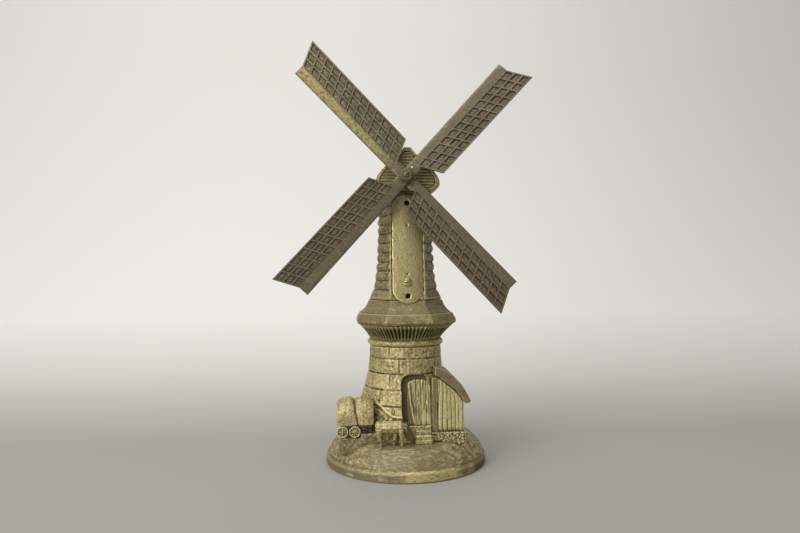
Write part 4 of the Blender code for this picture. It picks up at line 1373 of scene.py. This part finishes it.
@dataclass
class SailRotor:
    """Two crossed bars, each with two latticed sails, on a spindle through the cap's front."""

    pivot: tuple[float, float, float] = (-1.9, -40.5, 227.4)
    lean: float = 4.5
    bar_angle: float = 47.1
    pitch: float = 8.0
    thickness: float = 2.2
    set_back: float = 2.7
    arm: float = 4.8
    board_tip: float = 6.8
    fold: float = 1.2
    edge: float = 19.9
    rim: float = 0.7
    inner: float = 12.0
    outer: float = 117.4
    slant: float = 0.48
    columns: int = 3
    rows: int = 13
    bar: float = 0.55
    wall: float = 0.4
    depth: float = 1.1
    soft_edge: float = 0.25
    root_steps: tuple[float, float] = (9.0, 6.5)
    hub_step: float = 2.4
    finish: CastGilding = BROWN_PATINA
    arm_lines: tuple[float, ...] = (-4.8, -4.5, -3.0, -2.0, -1.7, -1.2, 0.0,
                                    1.2, 1.7, 2.0, 3.0, 4.5, 4.8)

    def frame_at(self) -> Matrix:
        """The rotor's frame in metres: Z out of the cap along the spindle."""
        turn = Matrix.Rotation(math.radians(90 - self.lean), 4, "X")
        return Matrix.Translation(Vector(self.pivot) * MM) @ turn

    def lines_along(self) -> list[float]:
        """Distances of the grid's cross lines from the hub, close together at each lattice bar."""
        first, last = self.inner + self.rim, self.outer - self.rim
        pitch = (last - first) / self.rows
        lines = [self.inner, self.inner + self.soft_edge]
        ridge = self.bar + self.wall
        for i in range(self.rows + 1):
            middle = first + pitch * i
            offsets = (-ridge - self.soft_edge, -ridge, -self.bar, 0, self.bar,
                       ridge, ridge + self.soft_edge, pitch / 3, pitch / 2, pitch * 2 / 3)
            lines += [middle + off for off in offsets]
        lines += [self.outer - self.soft_edge, self.outer]
        return sorted({round(v, 3) for v in lines if self.inner <= v <= self.outer})

    def lines_across(self) -> list[float]:
        """Distances of the lengthwise lines from the bar's middle, beyond the fold."""
        pitch = (self.edge - self.rim - self.fold) / self.columns
        lines = [*(v for v in self.arm_lines if v >= self.fold), self.edge, self.edge - self.soft_edge]
        for i in range(self.columns + 1):
            middle = self.fold + pitch * i
            offsets = (-self.bar - self.wall - self.soft_edge, -self.bar - self.wall, -self.bar, 0,
                       self.bar, self.bar + self.wall, pitch / 2)
            lines += [middle + off for off in offsets]
        return sorted({round(v, 3) for v in lines if self.fold <= v <= self.edge})

    def sunk(self, u: float, v: float) -> float:
        """How far a point of the sail's face lies below the lattice, in millimetres.

        Args:
            u: Distance along the bar from the hub, before the slant.
            v: Distance from the bar's middle, across the lattice.

        Returns:
            The depth.
        """
        first, last = self.inner + self.rim, self.outer - self.rim
        pitch_u = (last - first) / self.rows
        pitch_v = (self.edge - self.rim - self.fold) / self.columns
        if not (first < u < last and self.fold < v < self.edge - self.rim):
            return 0.0
        share_u = ((u - first) / pitch_u) % 1.0
        share_v = ((v - self.fold) / pitch_v) % 1.0
        reach_u = min(share_u, 1 - share_u) * pitch_u - self.bar
        reach_v = min(share_v, 1 - share_v) * pitch_v - self.bar
        inside = min(reach_u, reach_v)
        if inside <= 0:
            return 0.0
        pillow = 0.15 * min(1.0, max(0.0, inside - self.wall - 0.2) / 1.4)
        return self.depth * min(1.0, inside / self.wall) - pillow

    def board_edge(self, u: float) -> float:
        """The plain board's outer edge: a straight taper from the arm to the tip."""
        share = (u - self.inner) / (self.outer - self.inner)
        return -self.arm - (self.board_tip - self.arm) * share

    def bar_mesh(self, name: str, gilded_tip: bool) -> bpy.types.Mesh:
        """Two opposite sails and the arm that joins them, in the rotor's own frame.

        Args:
            name: The mesh's name.
            gilded_tip: Whether the first sail's board still has its bright gold.

        Returns:
            The mesh in metres, with its wear and gilding stored.
        """
        bm = bmesh.new()
        drop = bm.verts.layers.float.new("drop")
        gold = bm.verts.layers.float.new("gold")
        shared: dict[tuple[float, float], bmesh.types.BMVert] = {}
        along = self.lines_along()
        across = self.lines_across()
        board = [v for v in self.arm_lines if v < self.fold]

        def vert(u: float, v: float, side: int, sink: float, bright: float) -> bmesh.types.BMVert:
            """The shared vertex at u along and v across, made on first use."""
            key = (round(u * side, 3), round(v * side, 3))
            if key not in shared:
                made = bm.verts.new((u * side * MM, -v * side * MM, 0))
                made[drop] = sink
                made[gold] = bright
                shared[key] = made
            return shared[key]

        for side in (1, -1):
            grid = []
            for u in along:
                stretch = self.board_edge(u) / -self.arm
                to_end = min(u - self.inner, self.outer - u)
                tip = max(0.0, self.soft_edge - to_end) if u > self.inner + 1 else 0.0
                row = []
                for v in board:
                    across_v = v * stretch if v < -self.fold else v
                    round_edge = self.soft_edge if v == -self.arm else 0.0
                    kept = gilded_tip and side == 1 and v > -self.arm + 0.6
                    bright = min(1.0, max(0.0, (u - 14) / 16)) if kept else 0.0
                    row.append(vert(u, across_v, side, max(round_edge, tip), bright))
                for v in across:
                    round_edge = self.soft_edge if v == self.edge else 0.0
                    sink = max(round_edge, tip, self.sunk(u, v))
                    row.append(vert(u + self.slant * (v - self.fold), v, side, sink, 0.0))
                grid.append(row)
            for lower, upper in zip(grid, grid[1:]):
                for j in range(len(lower) - 1):
                    bm.faces.new((lower[j], upper[j], upper[j + 1], lower[j + 1]))
            self._arm_faces(bm, grid[0], vert, side)
        self._hub_faces(bm, vert)
        mesh = self._thicken(bm, name, drop, gold)
        bm.free()
        return mesh

    def _arm_sink(self, v: float) -> float:
        """How far the arm's long edges are rounded down at v across."""
        return self.soft_edge if abs(v) == self.arm else 0.0

    def _arm_faces(self, bm: bmesh.types.BMesh, root: list, vert: Callable, side: int) -> None:
        """Joins a sail's root to the straight arm.

        Args:
            bm: The mesh.
            root: The sail's first row of vertices.
            vert: Makes or finds a vertex.
            side: 1 for the first sail, -1 for the opposite one.
        """
        count = len(self.arm_lines)
        previous = root[:count]
        for u in (*self.root_steps, self.arm):
            row = []
            for v in self.arm_lines:
                share = (u - self.arm) / (self.inner - self.arm)
                lean = self.slant * max(0.0, v - self.fold) * share
                row.append(vert(u + lean, v, side, self._arm_sink(v), 0.0))
            for j in range(count - 1):
                bm.faces.new((row[j], previous[j], previous[j + 1], row[j + 1]))
            previous = row

    def _hub_faces(self, bm: bmesh.types.BMesh, vert: Callable) -> None:
        """Fills the middle of the arm between its two ends.

        Args:
            bm: The mesh.
            vert: Makes or finds a vertex.
        """
        rows = []
        for u in (-self.arm, -self.hub_step, 0.0, self.hub_step, self.arm):
            rows.append([vert(u, v, 1, self._arm_sink(v), 0.0) for v in self.arm_lines])
        for lower, upper in zip(rows, rows[1:]):
            for j in range(len(lower) - 1):
                bm.faces.new((lower[j], upper[j], upper[j + 1], lower[j + 1]))

    def _thicken(self, bm: bmesh.types.BMesh, name: str, drop: object, gold: object) -> bpy.types.Mesh:
        """Gives the flat grid its thickness, its recesses, its pitch and its wear.

        Args:
            bm: The grid, flat at Z = 0.
            name: The mesh's name.
            drop: The layer that holds each vertex's depth.
            gold: The layer that holds each vertex's gilding.

        Returns:
            The finished mesh.
        """
        grown = bmesh.ops.extrude_face_region(bm, geom=bm.faces[:])
        fresh = {item for item in grown["geom"] if isinstance(item, bmesh.types.BMVert)}
        bmesh.ops.recalc_face_normals(bm, faces=bm.faces)
        points = np.array([v.co for v in bm.verts]) / MM
        is_front = np.array([v in fresh for v in bm.verts])
        sunk = np.array([v[drop] for v in bm.verts])
        bright = np.array([v[gold] for v in bm.verts])
        edge_round = np.where(sunk == self.soft_edge, 0.15, 0.0)
        points[:, 2] = np.where(is_front, -sunk, -self.thickness + edge_round)
        ease = np.clip((np.abs(points[:, 0]) - 5) / 7, 0, 1) * np.sign(points[:, 0])
        points[:, 2] -= math.tan(math.radians(self.pitch)) * points[:, 1] * ease
        lumpy = 0.07 * rough(points, 4.0, 111) + 0.05 * rough(points, 1.5, 112)
        points[:, 2] += lumpy
        mesh = bpy.data.meshes.new(name)
        bm.to_mesh(mesh)
        write_points(mesh, points)
        self._wear(mesh, np.where(is_front, sunk, 0.0), lumpy, bright)
        return mesh

    @staticmethod
    def _wear(mesh: bpy.types.Mesh, sunk: Array, lumpy: Array, bright: Array) -> None:
        """Stores the rubbing and gilding values: bright lattice ridges and edges, recess floors a little
        darker, and the corners at the foot of each recess wall darkened as painted shade.

        Args:
            mesh: The finished mesh.
            sunk: Each vertex's depth.
            lumpy: The casting's unevenness.
            bright: The gilding.
        """
        points = read_points(mesh)
        near = neighbour_mean(sunk, read_edges(mesh))
        ridge = np.clip(near - sunk, 0, 0.5)
        # Corners where a recess wall meets its floor are darkened: painted shade.
        corner = np.clip(sunk - near, 0, 0.5) * (sunk > 0.5)
        patchy = 0.5 + 0.5 * lumps(points, 14, 115)
        wear_and_shade = 0.5 + (0.25 + 0.55 * patchy) * ridge - 0.1 * (sunk > 0.5) - 0.5 * corner + 1.2 * lumpy
        write_attribute(mesh, "wear_and_shade", np.clip(wear_and_shade, 0, 1))
        write_attribute(mesh, "gilding", bright)

    def build(self, materials: Finishes) -> None:
        """Makes both bars, the boss and the rivet."""
        bars = (("front_sail_bar", self.bar_angle, 0.0, False),
                ("rear_sail_bar", -self.bar_angle, self.set_back, True))
        for node, angle, back, gilded in bars:
            mesh = self.bar_mesh(node + "_casting", gilded)
            flip = math.pi if gilded else 0.0
            turn = Matrix.Rotation(math.radians(angle) + flip, 4, "Z")
            mesh.transform(self.frame_at() @ Matrix.Translation((0, 0, -back * MM)) @ turn)
            mesh.shade_smooth()
            mesh.set_sharp_from_angle(angle=math.radians(50))
            made = link(node + "_casting", mesh)
            settle(made, Body.ROTOR, Slot.BROWN, materials.get(self.finish), [node])
        boss = Casting("hub_boss", "hub_boss_casting", Slot.BROWN, DARK_BOSS, 0.2, self.boss, Body.ROTOR)
        boss.build(materials)
        rivet = Casting("bar_rivet", "bright_rivet", Slot.GILT, POLISHED_HEAD, 0.12, body=Body.ROTOR)
        rivet.build(materials)

    def boss(self, points: Array, normals: Array) -> tuple[Array, Array]:
        """Slight tool marks on the boss.

        Args:
            points: Positions in millimetres.
            normals: Vertex normals; not used.

        Returns:
            Height and gilding.
        """
        return 0.08 * rough(points, 1.2, 114), np.zeros(len(points))


# ---------------------------------------------------------------- what stays from the CAD


@dataclass
class Fixings:
    """The turned and stamped pieces inside, which keep their CAD shape."""

    brass: tuple[str, ...] = ("hub_spacer", "shaft_bush", "retaining_collar")
    browned: tuple[str, ...] = ("spindle",)
    steel: tuple[str, ...] = ("tie_rod", "tie_washer", "tie_nut")

    def build(self, materials: Finishes) -> None:
        """Gives the carried-over nodes their metals."""
        metals = ((self.brass, TURNED_BRASS), (self.browned, BROWNED_BRASS), (self.steel, PLAIN_STEEL))
        for names, finish in metals:
            for name in names:
                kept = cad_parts[name]
                kept.data.materials.clear()
                kept.data.materials.append(materials.get(finish))
                LOG.info("%s: kept, in %s", name, finish.name)


# ---------------------------------------------------------------- studio


@dataclass
class Studio:
    """Camera, sweep and lights."""

    camera_mm: tuple[float, float, float] = (-43.3, -517.2, 152.4)
    heading: float = 4.353
    tilt: float = 0.67
    roll: float = -0.33
    lens: float = 28.15
    # The floor's grey is painted shade, for the weaker light on the floor.
    floor_shade_grey: str = "A19F9A"
    wall_grey: str = "EFEDEA"
    fade: tuple[float, float] = (0.07, 0.67)
    aim: tuple[float, float, float] = (0.0, 0.0, 0.15)
    overhead: tuple[float, float, float] = (-0.2, -0.3, 1.5)
    overhead_size: float = 1.2
    overhead_watts: float = 13.5
    front: tuple[float, float, float] = (-1.15, -1.35, 0.6)
    front_size: float = 0.9
    front_watts: float = 16.5
    room_colour: str = "E8E6E0"
    room_strength: float = 0.45

    def camera(self) -> None:
        """Places the camera and makes it the scene's."""
        data = bpy.data.cameras.new("studio_camera")
        data.lens = self.lens
        data.sensor_width = 36
        made = bpy.data.objects.new("studio_camera", data)
        bpy.context.scene.collection.objects.link(made)
        aim = Matrix.Rotation(math.radians(-self.heading), 4, "Z")
        aim = aim @ Matrix.Rotation(math.radians(90 + self.tilt), 4, "X")
        aim = aim @ Matrix.Rotation(math.radians(self.roll), 4, "Z")
        made.matrix_world = Matrix.Translation(Vector(self.camera_mm) * MM) @ aim
        bpy.context.scene.camera = made

    def sweep(self) -> None:
        """Makes the paper sweep: a floor that curves up into a wall."""
        near, start, radius, top, half = -2.5, 0.35, 0.7, 2.6, 3.0
        profile = [(near, 0.0), (-0.6, 0.0), (0.0, 0.0), (start, 0.0)]
        for i in range(1, 25):
            angle = math.pi / 2 * i / 24
            profile.append((start + radius * math.sin(angle), radius * (1 - math.cos(angle))))
        profile.append((start + radius, top))
        verts = [(x, y, z) for y, z in profile for x in (-half, half)]
        faces = [(2 * i, 2 * i + 1, 2 * i + 3, 2 * i + 2) for i in range(len(profile) - 1)]
        mesh = bpy.data.meshes.new("paper_sweep")
        mesh.from_pydata(verts, [], faces)
        mesh.shade_smooth()
        made = link("paper_sweep", mesh)
        made.data.materials.append(self.paper())

    def paper(self) -> bpy.types.Material:
        """Background paper, grey on the floor and pale up the wall: the grey floor is painted shade, for the
        weaker light there.
        """
        material = bpy.data.materials.new("paper_painted_falloff")
        material.use_nodes = True
        tree = material.node_tree
        tree.nodes.clear()
        place = add_node(tree, "TexCoord").outputs["Object"]
        parts = add_node(tree, "SeparateXYZ", i0=place)
        # The grey-to-pale gradient along the sweep is painted shade.
        back = add_node(tree, "MapRange", Value=parts.outputs[1], i1=self.fade[0], i2=self.fade[1]).outputs[0]
        colour = add_node(tree, "Mix", {"data_type": "RGBA"}, i0=back, i6=linear(self.floor_shade_grey),
                          i7=linear(self.wall_grey)).outputs[2]
        fibre = add_node(tree, "TexNoise", i0=place, Scale=900.0, Detail=2.0).outputs[0]
        bump = add_node(tree, "Bump", Strength=0.05, Distance=0.1 * MM, Height=fibre).outputs[0]
        shader = add_node(tree, "BsdfPrincipled", Base_Color=colour, Roughness=0.9, Normal=bump)
        add_node(tree, "OutputMaterial", Surface=shader.outputs[0])
        return material

    def light(self, name: str, place: tuple, size: float, watts: float) -> None:
        """Adds a square soft box that points at the ornament.

        Args:
            name: The light's name.
            place: Where it hangs, in metres.
            size: Its side, in metres.
            watts: Its power.
        """
        data = bpy.data.lights.new(name, "AREA")
        data.size = size
        data.energy = watts
        made = bpy.data.objects.new(name, data)
        bpy.context.scene.collection.objects.link(made)
        made.location = place
        made.rotation_euler = (Vector(self.aim) - Vector(place)).to_track_quat("-Z", "Y").to_euler()

    def build(self) -> None:
        """Makes the camera, the sweep, the lights and the room's own light."""
        self.camera()
        self.sweep()
        self.light("overhead_box", self.overhead, self.overhead_size, self.overhead_watts)
        self.light("front_box", self.front, self.front_size, self.front_watts)
        world = bpy.data.worlds.new("studio_room")
        world.use_nodes = True
        room = world.node_tree.nodes["Background"].inputs
        room["Color"].default_value = linear(self.room_colour)
        room["Strength"].default_value = self.room_strength
        bpy.context.scene.world = world
        bpy.context.scene.view_settings.view_transform = "Standard"


def main() -> None:
    logging.basicConfig(level=logging.INFO, format="%(name)s %(message)s")
    materials = Finishes()
    Studio().build()
    for assembly in (GroundBase(), StoneTower(), Doorway(), LeanTo(), Wagon(), DraughtHorse(), Gallery(),
                     SmockTower(), Cap(), SailRotor(), Fixings()):
        LOG.info("building %s", type(assembly).__name__)
        assembly.build(materials)


if __name__ == "__main__":
    main()
